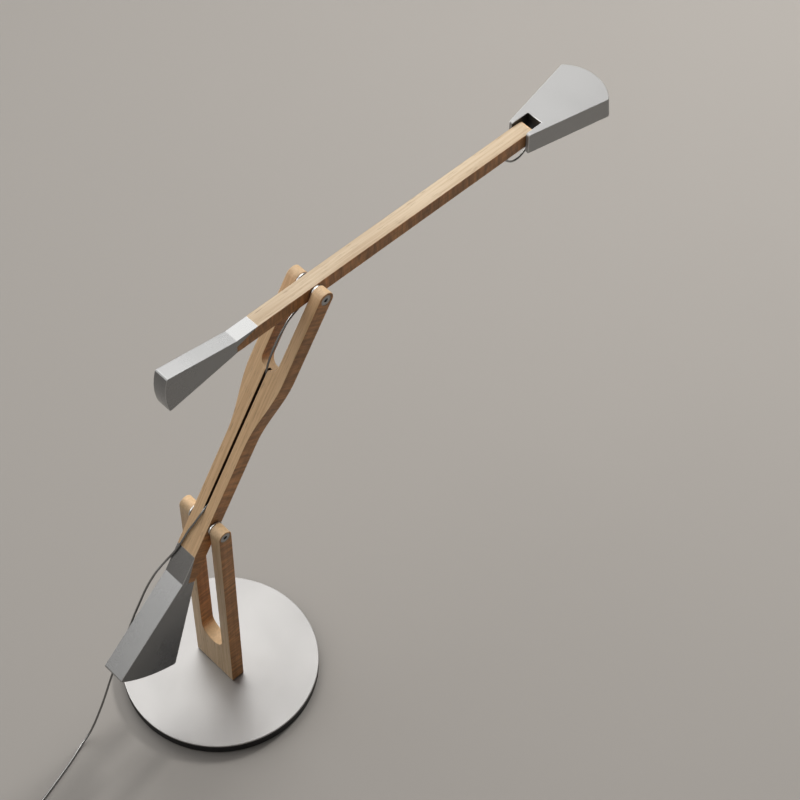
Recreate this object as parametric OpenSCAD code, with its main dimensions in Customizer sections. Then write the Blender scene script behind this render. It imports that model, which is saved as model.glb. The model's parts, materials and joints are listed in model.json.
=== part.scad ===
// Balanced-arm table lamp: a weighted round base carries a wooden fork, two wooden arms with
// metal counterweights pivot in it, and a flat fan-shaped head tilts at the upper arm's end.
// Millimetres. The origin is the centre of the base's underside, +Z is up, the arms lie in the
// XZ plane with the head towards +X, and every pivot axis is parallel to Y.

/* [Base] */
// Diameter of the base
base_d = 200; // [160:5:260]
// Height of the base, from the table to the top of its plate
base_h = 14; // [11:0.5:24]
// Thickness of the metal plate on top of the base
plate_t = 2.5; // [1.5:0.5:4]
// How far the weight's rim stands back from the plate's rim
rim_step = 0.3; // [0.2:0.1:4]
// Chamfer on the edges of the plate and the weight
rim_chamfer = 0.6; // [0.2:0.1:1]
// Diameter of the pad under the base
pad_d = 176; // [120:2:190]
// Thickness of the pad
pad_t = 3; // [2:0.5:4]
// How far the pad stands out below the weight
pad_proud = 1.5; // [1:0.5:2]

/* [Base fork] */
// Height of the lower pivot above the base's plate
pivot_h = 258; // [220:1:300]
// Depth of the fork along the arms
fork_depth = 15; // [13:0.5:20]
// Thickness of a prong at the pivot
prong_t = 14; // [10:0.5:18]
// Thickness of a prong at the fork's foot
prong_foot_t = 12.25; // [9:0.25:18]
// Height of the gap's round floor above the base's plate
gap_floor_h = 47; // [44:1:64]
// Thickness of the gasket under the foot
gasket_t = 0.8; // [0.5:0.1:2]
// How far the gasket's edge stands back from the foot
gasket_inset = 0.6; // [0.3:0.1:1.5]
// Distance between the two fork bolts
bolt_pitch = 32; // [24:1:36]
// Diameter of the fork bolts
bolt_d = 6; // [4:0.5:6.5]
// Diameter of the bolt heads
bolt_head_d = 10; // [9:0.5:12]
// Height of the bolt heads
bolt_head_h = 3; // [2:0.5:3]
// Length of bolt inside the fork
bolt_grip = 18; // [12:1:22]
// Diameter of the threaded inserts
insert_d = 9; // [8:0.5:10]
// Length of the threaded inserts
insert_l = 20; // [14:1:26]

/* [Pivots] */
// Diameter of the pivot sleeves
pivot_d = 8; // [6:0.5:9]
// Wall of the bushes that turn on the sleeves
bush_wall = 1.5; // [1:0.25:2]
// Diameter of the round pivot caps
cap_d = 11; // [10:0.5:13]
// Thickness of the pivot caps
cap_t = 2.6; // [2:0.2:4]
// How deep the caps sit below the prong's face
cap_set = 0.4; // [0.2:0.1:1]
// Diameter of the pivot screw's shank
screw_d = 5; // [3:0.5:5]
// Width across flats of the sockets in the caps
socket_af = 4; // [2.5:0.5:5]
// Depth of the sockets
socket_depth = 1.6; // [1:0.2:2]
// Diameter of the bright washers
washer_d = 16; // [14:0.5:17]
// Thickness of the bright washers
washer_t = 1.6; // [1:0.1:2.5]
// Diameter of the black slip washers
slip_d = 14.5; // [12:0.5:16]
// Thickness of the black slip washers
slip_t = 0.8; // [0.5:0.1:1.5]
// Play between an arm and the washer beside it
washer_play = 0.1; // [0.05:0.05:0.3]

/* [Lower arm] */
// Distance from the lower pivot to the elbow pivot
lower_len = 268; // [230:1:320]
// Angle of the lower arm above the horizontal
lower_tilt = 58.3; // [50:0.1:70]
// Width of the lower arm below its flare
lower_w = 25; // [22:0.5:30]
// Thickness of the lower arm
lower_t = 17; // [16:0.5:20]
// Thickness of an elbow prong
elbow_prong_t = 12; // [9:0.5:15]
// Distance from the elbow pivot to the floor of the elbow gap
elbow_gap_depth = 91; // [84:1:100]
// Length of the flare that widens the arm to its fork
flare_len = 80; // [50:5:100]
// Width of the cable slot in the top face
slot_w = 2.8; // [2.6:0.1:4]
// Depth of the cable slot
slot_depth = 6.5; // [5:0.5:8]
// Distance from the lower pivot to the cable slot's lower end
slot_from = 10.5; // [9:0.5:14]
// Length of the ramp at the cable slot's lower end
slot_ramp = 14; // [11:0.5:16]

/* [Lower counterweight] */
// Distance from the lower pivot to the metal's edge on the top face
lower_weight_edge = 35; // [25:1:45]
// Distance from the lower pivot to the fold where the weight flares
lower_weight_fold = 69; // [60:1:80]
// Distance from the lower pivot to the crown of the weight's end
lower_weight_reach = 188; // [160:1:196]
// Height of the weight's end
lower_weight_h = 77; // [50:1:90]
// How far the end's curve stands out past its corners
lower_weight_crown = 4.8; // [3:0.2:8]
// Diameter of the dowels in the lower joint
lower_dowel_d = 4; // [3:0.5:5]
// Distance between the dowels in the lower joint
lower_dowel_pitch = 12; // [8:1:16]

/* [Upper arm] */
// Distance from the elbow pivot to the head pivot
upper_len = 270; // [220:1:320]
// Angle of the upper arm above the horizontal
upper_tilt = -0.7; // [-5:0.1:5]
// Width of the upper arm
upper_w = 16; // [14:0.5:20]
// Thickness of the upper arm
upper_t = 16; // [15:0.5:20]
// Width of the cable groove underneath
groove_w = 2.8; // [2.6:0.1:4]
// Depth of the cable groove
groove_depth = 3.4; // [3:0.1:4]
// Distance from the elbow pivot to where the groove starts
groove_from = 8; // [7:0.5:12]
// Distance from the groove's end to the head pivot
groove_gap = 27; // [20:1:40]

/* [Upper counterweight] */
// Distance from the elbow pivot to the metal's edge on the top face
upper_weight_edge = 67; // [50:1:72]
// Distance from the elbow pivot to the fold where the weight flares
upper_weight_fold = 92; // [85:1:100]
// Distance from the elbow pivot to the crown of the weight's end
upper_weight_reach = 174; // [140:1:185]
// Height of the weight's end
upper_weight_h = 45; // [34:1:52]
// How far the end's curve stands out past its corners
upper_weight_crown = 3.4; // [2:0.2:6]
// Diameter of the dowels in the upper joint
upper_dowel_d = 3; // [2:0.5:4]
// Distance between the dowels in the upper joint
upper_dowel_pitch = 8; // [6:0.5:10]

/* [Head] */
// Distance from the head pivot to the crown of the head's end
head_reach = 95; // [80:1:120]
// How far the tips stand behind the head pivot
head_tip = 6.5; // [5:0.5:8]
// Width of the head across its tips
head_tip_w = 26; // [24:0.5:32]
// Width of the head at its wide end
head_w = 62.4; // [50:0.2:80]
// Height of the head
head_h = 24; // [20:0.5:30]
// How far the end's curve stands out past its corners
head_crown = 13.4; // [8:0.2:18]
// Radius of the head's wide corners
head_corner = 3; // [1:0.5:5]
// How many times larger the head's underside is than its top
head_flare = 1.024; // [1:0.002:1.05]
// Radius of the round on top of the tips' ends
tip_round = 2.6; // [1:0.2:5]
// Distance from the head pivot to the back of the arm's slot
head_slot = 14; // [12:0.5:18]
// Thickness of the head's side walls
head_wall = 2; // [1.6:0.1:3]
// Thickness of the head's roof
head_roof = 2.5; // [2:0.1:4]
// Thickness of the web behind the arm's slot
head_web = 4; // [3:0.5:6]
// Width of the ledge that the panels underneath sit on
ledge_w = 1.4; // [1:0.1:2]
// Thickness of the diffuser and the switch plate
panel_t = 2.3; // [1.5:0.1:3]
// How deep the panels sit inside the rim
panel_set = 0.2; // [0.1:0.1:1]
// Length of the switch plate
switch_plate_l = 18; // [17:0.5:24]
// Thickness of the heat spreader
spreader_t = 2; // [1:0.5:3]
// Thickness of the LED board
board_t = 1.6; // [1:0.2:2]
// Side of an LED chip
led_side = 3; // [2:0.5:4]
// Height of an LED chip
led_h = 0.8; // [0.4:0.1:1.2]
// Distance between LED chips
led_pitch = 9; // [7:0.5:12]
// Diameter of the head pin
head_pin_d = 4; // [3:0.5:4.5]
// How deep the head pin goes into each tip
head_pin_grip = 3; // [2:0.5:3.5]
// Thickness of the washers beside the arm in the head
head_washer_t = 0.65; // [0.4:0.05:1]
// Diameter of the washers in the head
head_washer_d = 9; // [7:0.5:11]
// Height of the cable's hole below the head's middle
wire_drop = 6.8; // [5.5:0.1:7.2]
// Outer diameter of the grommet round the cable
grommet_d = 4.6; // [4:0.1:5]

/* [Switch] */
// Diameter of the push button
button_d = 9; // [6:0.5:9]
// How far the button stands out of its plate
button_proud = 1; // [0.8:0.1:2]
// Travel of the button
button_travel = 1.2; // [0.5:0.1:1.5]
// Thickness of the flange that keeps the button in
flange_t = 1.2; // [0.8:0.1:2]
// How far the flange stands out round the button
flange_w = 1; // [0.6:0.1:1.2]
// Diameter of the plunger on the button
plunger_d = 4; // [3:0.5:5]
// Height of the plunger
plunger_h = 1.4; // [1:0.1:2]
// Wall of the switch body
switch_wall = 1.8; // [1:0.1:2]
// Thickness of the switch body's top
switch_top = 3; // [1:0.5:4]

/* [Lead] */
// Diameter of the cable
cord_d = 2.2; // [1.8:0.1:2.2]
// Number of turns in the coil
coil_turns = 17.25; // [9.25:1:21.25]
// Number of layers in the coil
coil_layers = 4; // [2, 4]
// Radius of the coil at the middle of its turns
coil_mid_r = 12.1; // [12:0.1:16]
// Gap between neighbouring turns
turn_gap = 0.6; // [0.5:0.1:1]
// Gap between layers
layer_gap = 0.5; // [0.45:0.05:1]
// Thickness of the tie round the coil
tie_t = 0.6; // [0.4:0.1:1]
// Width of the tie
tie_w = 6; // [4:0.5:10]
// Length of the plug's tapered boot
boot_l = 22; // [20:1:30]
// Diameter of the boot at the plug
boot_d = 9; // [7:0.5:12]
// Length of the plug's body
plug_l = 48; // [36:1:60]
// Width of the plug's body
plug_w = 34; // [32:1:44]
// Diameter of the plug's pins
plug_pin_d = 4; // [3.5:0.1:5]
// Length of the plug's pins
plug_pin_l = 19; // [16:0.5:20]
// Distance between the plug's pins
plug_pin_pitch = 19; // [17:0.5:19.5]

/* [Hidden] */

$fn = 64;

// Clearances: pieces fixed together, pieces that turn together, pieces that stay clear
fit = 0.02;
running = 0.04;
clear = 0.3;
// Overshoot of cuts past the faces they open
over = 1;

// Colours
oak = [0.84, 0.74, 0.59];
satin = [0.78, 0.78, 0.77];
steel = [0.62, 0.62, 0.61];
dark = [0.09, 0.09, 0.09];
brass = [0.75, 0.62, 0.35];
opal = [0.95, 0.94, 0.9];
cable_grey = [0.3, 0.3, 0.3];

// Widths that follow from what passes between the prongs
washer_stack = washer_t + slip_t + washer_play;
fork_gap = lower_w + 2 * washer_stack;
elbow_gap = upper_w + 2 * washer_stack;
head_gap = upper_w + 2 * (head_washer_t + washer_play);
fork_out = fork_gap / 2 + prong_t;
foot_out = fork_gap / 2 + prong_foot_t;
elbow_out = elbow_gap / 2 + elbow_prong_t;

// Pivot places
fork_z = base_h + gasket_t;
lower_pivot_z = base_h + pivot_h;
elbow_x = lower_len * cos(lower_tilt);
elbow_z = lower_pivot_z + lower_len * sin(lower_tilt);
bush_d = pivot_d + 2 * (running + bush_wall);
head_bush_d = head_pin_d + 2 * (running + bush_wall);
gap_floor_at = lower_len - elbow_gap_depth;

// Base
weight_z = base_h - plate_t;
weight_d = base_d - 2 * rim_step;
bolt_head_gap = 1;
bolt_seat_z = pad_t + bolt_head_gap + bolt_head_h;

// Counterweights: radius of their corners, length of the dowels, overlap of the lap with the fan
weight_corner = 2;
dowel_l = 40;
lap_l = 1;

// Head, measured from the head pivot with the head's middle at z = 0
head_corner_x = head_reach - head_crown;
head_slope = (head_w - head_tip_w) / 2 / (head_corner_x + head_tip);
ledge_z = -head_h / 2 + panel_set + panel_t;
roof_z = head_h / 2 - head_roof;
cavity_x = head_slot + head_web;
spreader_x = cavity_x + switch_plate_l;
board_z = roof_z - spreader_t - board_t;
button_x = cavity_x + switch_plate_l / 2;
switch_d = button_d + 2 * (flange_w + clear + switch_wall);
screw_head_h = 1.3;
board_screw_d = 3;
board_screw_head_d = 5;
board_screw_skin = 1;
board_screw_bite = head_roof - board_screw_skin;
board_screw_from_edge = 6;
board_screw_from_crown = 4;
board_screw_from_side = 12;
board_screw_places = [
    [spreader_x + board_screw_from_edge, 0],
    for (side = [-1, 1]) [head_corner_x - board_screw_from_crown, side * (head_w / 2 - board_screw_from_side)]
];
led_margin = 2;
least_corner = 0.4;

// Lead
cord_r = cord_d / 2;
turn_step = cord_d + turn_gap;
layer_step = cord_d + layer_gap;
layer_turns = coil_turns / coil_layers;
coil_in_r = coil_mid_r - layer_turns * turn_step / 2;
coil_out_r = coil_mid_r + layer_turns * turn_step / 2;
coil_z = tie_t + clear + cord_r;
coil_top_z = coil_z + (coil_layers - 1) * layer_step;
coil_start_angle = 90;
coil_end_angle = coil_start_angle + 360 * coil_turns;
coil_rings = 24;
ring_step = 6.6;
climb_turns = 0.5;
boot_rim = 1;
plug_pin_root = 8;
lead_sides = 8;
coil_sides = 6;

// Facets on the curved ends of fans, as a length along the curve
facet_l = 4;
corner_steps = 5;
flare_steps = 16;

// Route of the lead from the slot to the coil: on the lower arm, hanging, then on the table
lead_on_arm = [
    [24.5, 0, 3.5], [21, 0, 5.1], [16, 0, 7.5], [10, 0, 10], [3, 1, 10.6], [-6, 3, 10.3],
    [-13.5, 5, 10.2], [-24, 6.5, 10.2], [-34, 8, 10.2], [-46, 10.5, 10.3], [-57, 13.8, 10.6]
];
lead_hanging = [
    [-45, 16, 222], [-53, 17.5, 214], [-63, 19, 200], [-71, 20, 185], [-83, 22, 159], [-98.5, 24, 122],
    [-114.5, 26, 84], [-127.5, 27.5, 50], [-138, 28.5, 27], [-145.5, 29, 13.5], [-152.5, 28.8, 6]
];
lead_on_table = [
    [-160.5, 27.6, 2.4], [-170, 24.8, 1.2], [-180, 21, 1.1], [-199, 15, 1.1], [-214, 10.5, 1.1],
    [-229, 6.2, 1.1], [-242, 2.8, 1.2], [-254, 0.9, 1.6], [-260, 0.5, 2]
];
// Where the lead runs into the coil
coil_from = [-268, 0.5];

// Route of the loop across the elbow: on the lower arm from the floor of its gap, then on the upper arm
elbow_on_lower = [
    [-17, 0, 3.2], [-11, 0, 4], [-4, 0, 6.6], [4, 0, 9.4], [14, 0, 11.2], [25, 0, 12], [36, 0, 11.7],
    [46, 0, 10.4]
];
elbow_on_upper = [
    [-26, 0, -26.2], [-17, 0, -20.8], [-7, 0, -16], [3, 0, -12.2], [12, 0, -8.9], [20, 0, -6.7], [27.7, 0, -5.8]
];

// Route of the loop under the head, from the head pivot along the upper arm
head_loop = [
    [-45, 0, -5.8], [-39, 0, -6.5], [-33, 0, -9.2], [-27, 0, -14.4], [-21.5, 0, -21], [-15, 0, -27],
    [-8, 0, -29.4], [-1, 0, -27.8], [5, 0, -22.4], [8.8, 0, -15.4], [10.6, 0, -10.6], [12.6, 0, -7.7],
    [15, 0, -6.8], [18, 0, -6.8]
];

// Straight cables in the arms, between the ends of the loops
arm_cable_from = slot_from + slot_ramp + clear;
cable_lift = 0.1;
arm_cable_to = gap_floor_at + elbow_on_lower[0].x - clear;
arm_cable_z = lower_t / 2 - slot_depth + cable_lift + cord_r;
upper_cable_from = elbow_on_upper[len(elbow_on_upper) - 1].x + clear;
upper_cable_to = upper_len + head_loop[0].x - clear;
upper_cable_z = -upper_t / 2 + groove_depth - cable_lift - cord_r;

// Places in the frames of the two arms
function lower_at(p) = [
    p.x * cos(lower_tilt) - p.z * sin(lower_tilt), p.y,
    lower_pivot_z + p.x * sin(lower_tilt) + p.z * cos(lower_tilt)
];
function upper_at(p) = [
    elbow_x + p.x * cos(upper_tilt) - p.z * sin(upper_tilt), p.y,
    elbow_z + p.x * sin(upper_tilt) + p.z * cos(upper_tilt)
];

coil_at = coil_from - [0, coil_out_r];
lead_end = [coil_from.x + cord_d + clear, coil_from.y, coil_z];
lead_route = concat([for (p = lead_on_arm) lower_at(p)], lead_hanging, lead_on_table, [lead_end]);
elbow_route = concat([for (p = elbow_on_lower) lower_at(p + [gap_floor_at, 0, 0])],
    [for (p = elbow_on_upper) upper_at(p)]);
head_route = [for (p = head_loop) upper_at(p + [upper_len, 0, 0])];

// Curve through the points of a route, with a ring about every step
function spline(a, b, c, d, t) =
    (2 * b + (c - a) * t + (2 * a - 5 * b + 4 * c - d) * t ^ 2 + (3 * b - a - 3 * c + d) * t ^ 3) / 2;
function smooth(route, step) = let (last = len(route) - 1) concat(
    [for (i = [0:last - 1]) let (n = max(1, round(norm(route[i + 1] - route[i]) / step)))
        for (j = [0:n - 1])
            spline(route[max(i - 1, 0)], route[i], route[i + 1], route[min(i + 2, last)], j / n)],
    [route[last]]);
function path_length(path) = path_sum([for (i = [1:len(path) - 1]) norm(path[i] - path[i - 1])]);
function path_sum(steps) = steps * [for (s = steps) 1];

// Coil of cable: layers that spiral in and out by turns, each climbed to where the spiral reverses
function coil_layer(turn) = min(floor(turn / layer_turns), coil_layers - 1);
function coil_radius(turn) = let (k = coil_layer(turn), t = turn - k * layer_turns)
    k % 2 == 0 ? coil_out_r - t * turn_step : coil_in_r + t * turn_step;
function climb(turn, k) = min(1, max(0, (turn - k * layer_turns) / climb_turns + 0.5));
function coil_height(turn) = coil_z + layer_step * path_sum([for (k = [1:coil_layers - 1]) climb(turn, k)]);
function coil_point(turn) = let (a = coil_start_angle + 360 * turn, r = coil_radius(turn))
    [coil_at.x + r * cos(a), coil_at.y + r * sin(a), coil_height(turn)];
coil_count = round(coil_turns * coil_rings);
coil_turn_points = [for (i = [0:coil_count]) coil_point(i / coil_rings)];
coil_end_way = [-sin(coil_end_angle), cos(coil_end_angle), 0];
coil_end = coil_turn_points[coil_count] + cord_d * coil_end_way;
coil_path = concat([coil_turn_points[0] + [cord_d, 0, 0]], coil_turn_points, [coil_end]);
coil_self_gap = min([for (i = [0:coil_count - coil_rings / 2 - 1]) for (j = [i + coil_rings / 2:coil_count])
    norm(coil_turn_points[i] - coil_turn_points[j])]) - cord_d;
echo(least_gap_of_coil_to_itself = coil_self_gap);
echo(lead_length = path_length(smooth(lead_route, ring_step)), coil_length = path_length(coil_path));
echo(elbow_loop_length = path_length(smooth(elbow_route, ring_step)));
echo(head_loop_length = path_length(smooth(head_route, ring_step)));

// Outline of half a fan, from its narrow end along one side, round the corner and along the crown
function crown_r(w, crown) = (w ^ 2 + crown ^ 2) / (2 * crown);
function bow(centre, r, from, to, steps) =
    [for (i = [0:steps]) let (a = from + (to - from) * i / steps) centre + r * [cos(a), sin(a)]];
function half_fan(x0, w0, x1, w1, crown, corner) = let (
    r = crown_r(w1, crown), cx = x1 + crown - r,
    lean = atan2(w1 - w0, x1 - x0), way = [cos(lean), sin(lean)], out = [-sin(lean), cos(lean)],
    v = [x1 - cx, w1] - corner * out,
    back = v * way - sqrt((v * way) ^ 2 - v * v + (r - corner) ^ 2),
    c = [x1, w1] - corner * out - back * way,
    turn = atan2(c.y, c.x - cx),
    steps = ceil(r * turn * PI / 180 / facet_l))
    concat([[x0, w0]], bow(c, corner, lean + 90, turn, corner_steps),
        [for (i = [1:steps]) [cx, 0] + r * [cos(turn * (1 - i / steps)), sin(turn * (1 - i / steps))]]);
function fan(x0, w0, x1, w1, crown, corner) = let (h = half_fan(x0, w0, x1, w1, crown, corner))
    concat(h, [for (i = [len(h) - 2:-1:0]) [h[i].x, -h[i].y]]);

// Shared shapes

// Children drawn in the lower arm's frame: x along the arm, z out of its top face
module on_lower() translate([0, 0, lower_pivot_z]) rotate([0, -lower_tilt, 0]) children();

// Children drawn in the upper arm's frame
module on_upper() translate([elbow_x, 0, elbow_z]) rotate([0, -upper_tilt, 0]) children();

// Children drawn in the head's frame
module on_head() on_upper() translate([upper_len, 0, 0]) children();

// A flat outline in x and z, given a width along y
module across(width) rotate([90, 0, 0]) linear_extrude(width, center = true) children();

// A round rod along y between two places
module rod(d, from, to) translate([0, from, 0]) rotate([-90, 0, 0]) cylinder(d = d, h = to - from);

// A ring along y between two places
module ring(d, hole, from, to) difference() {
    rod(d, from, to);
    rod(hole, from - over, to + over);
}

// A tube of flat sides swept along a path, its first side turned towards a reference direction
module tube(path, r, sides, reference) {
    last = len(path) - 1;
    ways = [for (i = [0:last]) path[min(i + 1, last)] - path[max(i - 1, 0)]];
    rings = [for (i = [0:last]) let (a = cross(ways[i], reference), b = cross(a, ways[i]))
        for (k = [0:sides - 1]) let (t = 360 * k / sides)
            path[i] + r * (cos(t) * a / norm(a) + sin(t) * b / norm(b))];
    walls = [for (i = [0:last - 1]) for (k = [0:sides - 1]) let (a = i * sides, m = (k + 1) % sides)
        each [[a + k, a + sides + k, a + sides + m], [a + k, a + sides + m, a + m]]];
    start_cap = [for (k = [1:sides - 2]) [0, k, k + 1]];
    ends = [for (k = [1:sides - 2]) [last * sides, last * sides + k + 1, last * sides + k]];
    polyhedron(rings, concat(walls, start_cap, ends));
}

// Sleeve nut of a pivot: a flat cap with a socket, and a barrel that reaches the other prong
module pivot_sleeve(out) {
    seat = out - cap_set - cap_t;
    difference() {
        union() {
            rod(cap_d, seat, seat + cap_t);
            rod(pivot_d, fit - seat, seat + fit);
        }
        rod(screw_d + 2 * fit, -seat - over, seat - cap_t);
        translate([0, seat + cap_t - socket_depth, 0]) socket();
    }
}

// Socket screw of a pivot: the cap at the near prong and a shank that screws into the sleeve
module pivot_screw(out) {
    seat = out - cap_set - cap_t;
    difference() {
        union() {
            rod(cap_d, -seat - cap_t, -seat);
            rod(screw_d, -seat - fit, 0);
        }
        translate([0, -seat - cap_t + socket_depth, 0]) mirror([0, 1, 0]) socket();
    }
}

// Six-sided socket, open towards +y
module socket() rotate([-90, 0, 0]) cylinder(d = socket_af / cos(30), h = socket_depth + over, $fn = 6);

// The cuts that a pivot makes in a fork: a bore through both prongs and a recess for each cap
module pivot_cuts(out) {
    seat = out - cap_set - cap_t;
    rod(pivot_d + 2 * fit, -out - over, out + over);
    rod(cap_d + 2 * fit, seat, out + over);
    rod(cap_d + 2 * fit, -out - over, -seat);
}

// A pair of rings on both sides of an arm
module ring_pair(d, hole, from, to) for (side = [0, 1]) mirror([0, side, 0]) ring(d, hole, from, to);

// A bush along y in an arm
module bush(d, shaft, width) ring(d, shaft + 2 * running, -width / 2, width / 2);

// Side outline of a wooden arm: a bar with a round end, and a scarf where the metal laps over it
module arm_side(len, t, edge, fold) {
    difference() {
        union() {
            translate([-fold, -t / 2]) square([fold + len, t]);
            translate([len, 0]) circle(d = t);
        }
        polygon([[-fold - over, 0], [-fold, 0], [-edge, t / 2], [-edge, t / 2 + over],
            [-fold - over, t / 2 + over]]);
    }
}

// Side outline of a counterweight: a fan behind the fold, and the lap over the arm's scarf
module weight_side(t, edge, fold, reach, h, crown) {
    mirror([1, 0]) polygon(fan(fold, t / 2, reach - crown, h / 2, crown, weight_corner));
    polygon([[-fold - lap_l, 0], [-fold, 0], [-edge, t / 2], [-fold - lap_l, t / 2]]);
}

// Dowels along an arm, half in the wood and half in the metal
module dowel_pair(d, pitch, fold, z, l) for (side = [-1, 1])
    translate([-fold - l / 2, side * pitch / 2, z]) rotate([0, 90, 0]) cylinder(d = d, h = l);

// Base

module base_pad() color(dark) cylinder(d = pad_d, h = pad_t);

module base_weight() color(dark) difference() {
    rotate_extrude($fn = 128) {
        r = weight_d / 2;
        c = rim_chamfer;
        polygon([[0, pad_t], [pad_d / 2 + clear, pad_t], [pad_d / 2 + clear, pad_proud], [r - c, pad_proud],
            [r, pad_proud + c], [r, weight_z], [0, weight_z]]);
    }
    at_bolts(-over, base_h + over, bolt_d + 2 * clear);
    at_bolts(-over, bolt_seat_z, bolt_head_d + 2 * clear);
}

module base_plate() color(satin) difference() {
    rotate_extrude($fn = 128) {
        r = base_d / 2;
        c = rim_chamfer;
        polygon([[0, weight_z], [r - c, weight_z], [r, weight_z + c], [r, base_h - c], [r - c, base_h],
            [0, base_h]]);
    }
    at_bolts(-over, base_h + over, bolt_d + 2 * clear);
}

// Upright cylinders at the two fork bolts
module at_bolts(from, to, d) for (side = [-1, 1])
    translate([0, side * bolt_pitch / 2, from]) cylinder(d = d, h = to - from);

module fork_gasket() color(dark) difference() {
    translate([-fork_depth / 2 + gasket_inset, -foot_out + gasket_inset, base_h])
        cube([fork_depth - 2 * gasket_inset, 2 * (foot_out - gasket_inset), gasket_t]);
    at_bolts(base_h - over, fork_z + over, bolt_d + 2 * clear);
}

module fork_bolts() color(steel) {
    at_bolts(bolt_seat_z - bolt_head_h, bolt_seat_z, bolt_head_d);
    at_bolts(bolt_seat_z - fit, fork_z + bolt_grip, bolt_d);
}

module fork_inserts() color(brass) difference() {
    at_bolts(fork_z, fork_z + insert_l, insert_d);
    at_bolts(fork_z - over, fork_z + insert_l + over, bolt_d + 2 * fit);
}

// Front outline of the fork in y and z: a tapered block with a round-bottomed gap from above
module fork_front() {
    top_z = lower_pivot_z + fork_depth / 2;
    floor_z = base_h + gap_floor_h + fork_gap / 2;
    difference() {
        polygon([[-foot_out, fork_z], [foot_out, fork_z], [fork_out, lower_pivot_z], [fork_out, top_z],
            [-fork_out, top_z], [-fork_out, lower_pivot_z]]);
        translate([0, floor_z]) circle(d = fork_gap);
        translate([-fork_gap / 2, floor_z]) square([fork_gap, top_z - floor_z + over]);
    }
}

module base_fork() color(oak) difference() {
    intersection() {
        rotate([90, 0, 90]) linear_extrude(fork_depth, center = true) fork_front();
        across(2 * fork_out + 2 * over) {
            translate([-fork_depth / 2, fork_z]) square([fork_depth, lower_pivot_z - fork_z]);
            translate([0, lower_pivot_z]) circle(d = fork_depth);
        }
    }
    translate([0, 0, lower_pivot_z]) pivot_cuts(fork_out);
    at_bolts(fork_z - over, fork_z + insert_l, insert_d + 2 * fit);
}

module at_lower_pivot() translate([0, 0, lower_pivot_z]) children();

module lower_pivot_sleeve() color(steel) at_lower_pivot() pivot_sleeve(fork_out);

module lower_pivot_screw() color(steel) at_lower_pivot() pivot_screw(fork_out);

module lower_washers() color(satin) at_lower_pivot()
    ring_pair(washer_d, pivot_d + 2 * running, fork_gap / 2 - washer_t, fork_gap / 2);

module lower_slip_washers() color(dark) at_lower_pivot()
    ring_pair(slip_d, pivot_d + 2 * running, fork_gap / 2 - washer_t - slip_t, fork_gap / 2 - washer_t);

// Lower arm

// Plan of the lower arm: a beam that widens to the elbow's fork
function flare_at(u) = lower_w / 2 + (elbow_out - lower_w / 2) * (1 - cos(180 * u)) / 2;
module lower_plan() {
    start = gap_floor_at - flare_len;
    side = concat([[-lower_weight_fold - over, lower_w / 2]],
        [for (i = [0:flare_steps]) [start + flare_len * i / flare_steps, flare_at(i / flare_steps)]],
        [[lower_len + lower_t, elbow_out]]);
    polygon(concat(side, [for (i = [len(side) - 1:-1:0]) [side[i].x, -side[i].y]]));
}

module lower_arm() color(oak) on_lower() difference() {
    intersection() {
        linear_extrude(lower_t, center = true) lower_plan();
        across(2 * elbow_out + 2 * over) arm_side(lower_len, lower_t, lower_weight_edge, lower_weight_fold);
    }
    linear_extrude(lower_t + 2 * over, center = true) {
        translate([gap_floor_at + elbow_gap / 2, 0]) circle(d = elbow_gap);
        translate([gap_floor_at + elbow_gap / 2, -elbow_gap / 2]) square([lower_len, elbow_gap]);
    }
    across(slot_w) polygon([[slot_from, lower_t / 2], [slot_from + slot_ramp, lower_t / 2 - slot_depth],
        [gap_floor_at + over, lower_t / 2 - slot_depth], [gap_floor_at + over, lower_t / 2 + over],
        [slot_from, lower_t / 2 + over]]);
    rod(bush_d + 2 * fit, -lower_w, lower_w);
    translate([lower_len, 0, 0]) pivot_cuts(elbow_out);
    dowel_pair(lower_dowel_d + 2 * fit, lower_dowel_pitch, lower_weight_fold, -lower_t / 4, dowel_l + 2 * fit);
}

module lower_bush() color(brass) on_lower() bush(bush_d, pivot_d, lower_w);

module lower_counterweight() color(steel) on_lower() difference() {
    across(lower_w) weight_side(lower_t, lower_weight_edge, lower_weight_fold, lower_weight_reach,
        lower_weight_h, lower_weight_crown);
    dowel_pair(lower_dowel_d + 2 * fit, lower_dowel_pitch, lower_weight_fold, -lower_t / 4, dowel_l + 2 * fit);
}

module lower_dowels() color(steel) on_lower()
    dowel_pair(lower_dowel_d, lower_dowel_pitch, lower_weight_fold, -lower_t / 4, dowel_l);

module arm_cable() color(cable_grey) on_lower() translate([arm_cable_from, 0, arm_cable_z]) rotate([0, 90, 0])
    cylinder(d = cord_d, h = arm_cable_to - arm_cable_from);

module at_elbow() on_lower() translate([lower_len, 0, 0]) children();

module elbow_pivot_sleeve() color(steel) at_elbow() pivot_sleeve(elbow_out);

module elbow_pivot_screw() color(steel) at_elbow() pivot_screw(elbow_out);

module elbow_washers() color(satin) at_elbow()
    ring_pair(washer_d, pivot_d + 2 * running, elbow_gap / 2 - washer_t, elbow_gap / 2);

module elbow_slip_washers() color(dark) at_elbow()
    ring_pair(slip_d, pivot_d + 2 * running, elbow_gap / 2 - washer_t - slip_t, elbow_gap / 2 - washer_t);

module elbow_cable() color(cable_grey) tube(smooth(elbow_route, ring_step), cord_r, lead_sides, [0, 1, 0]);

// Upper arm

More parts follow.
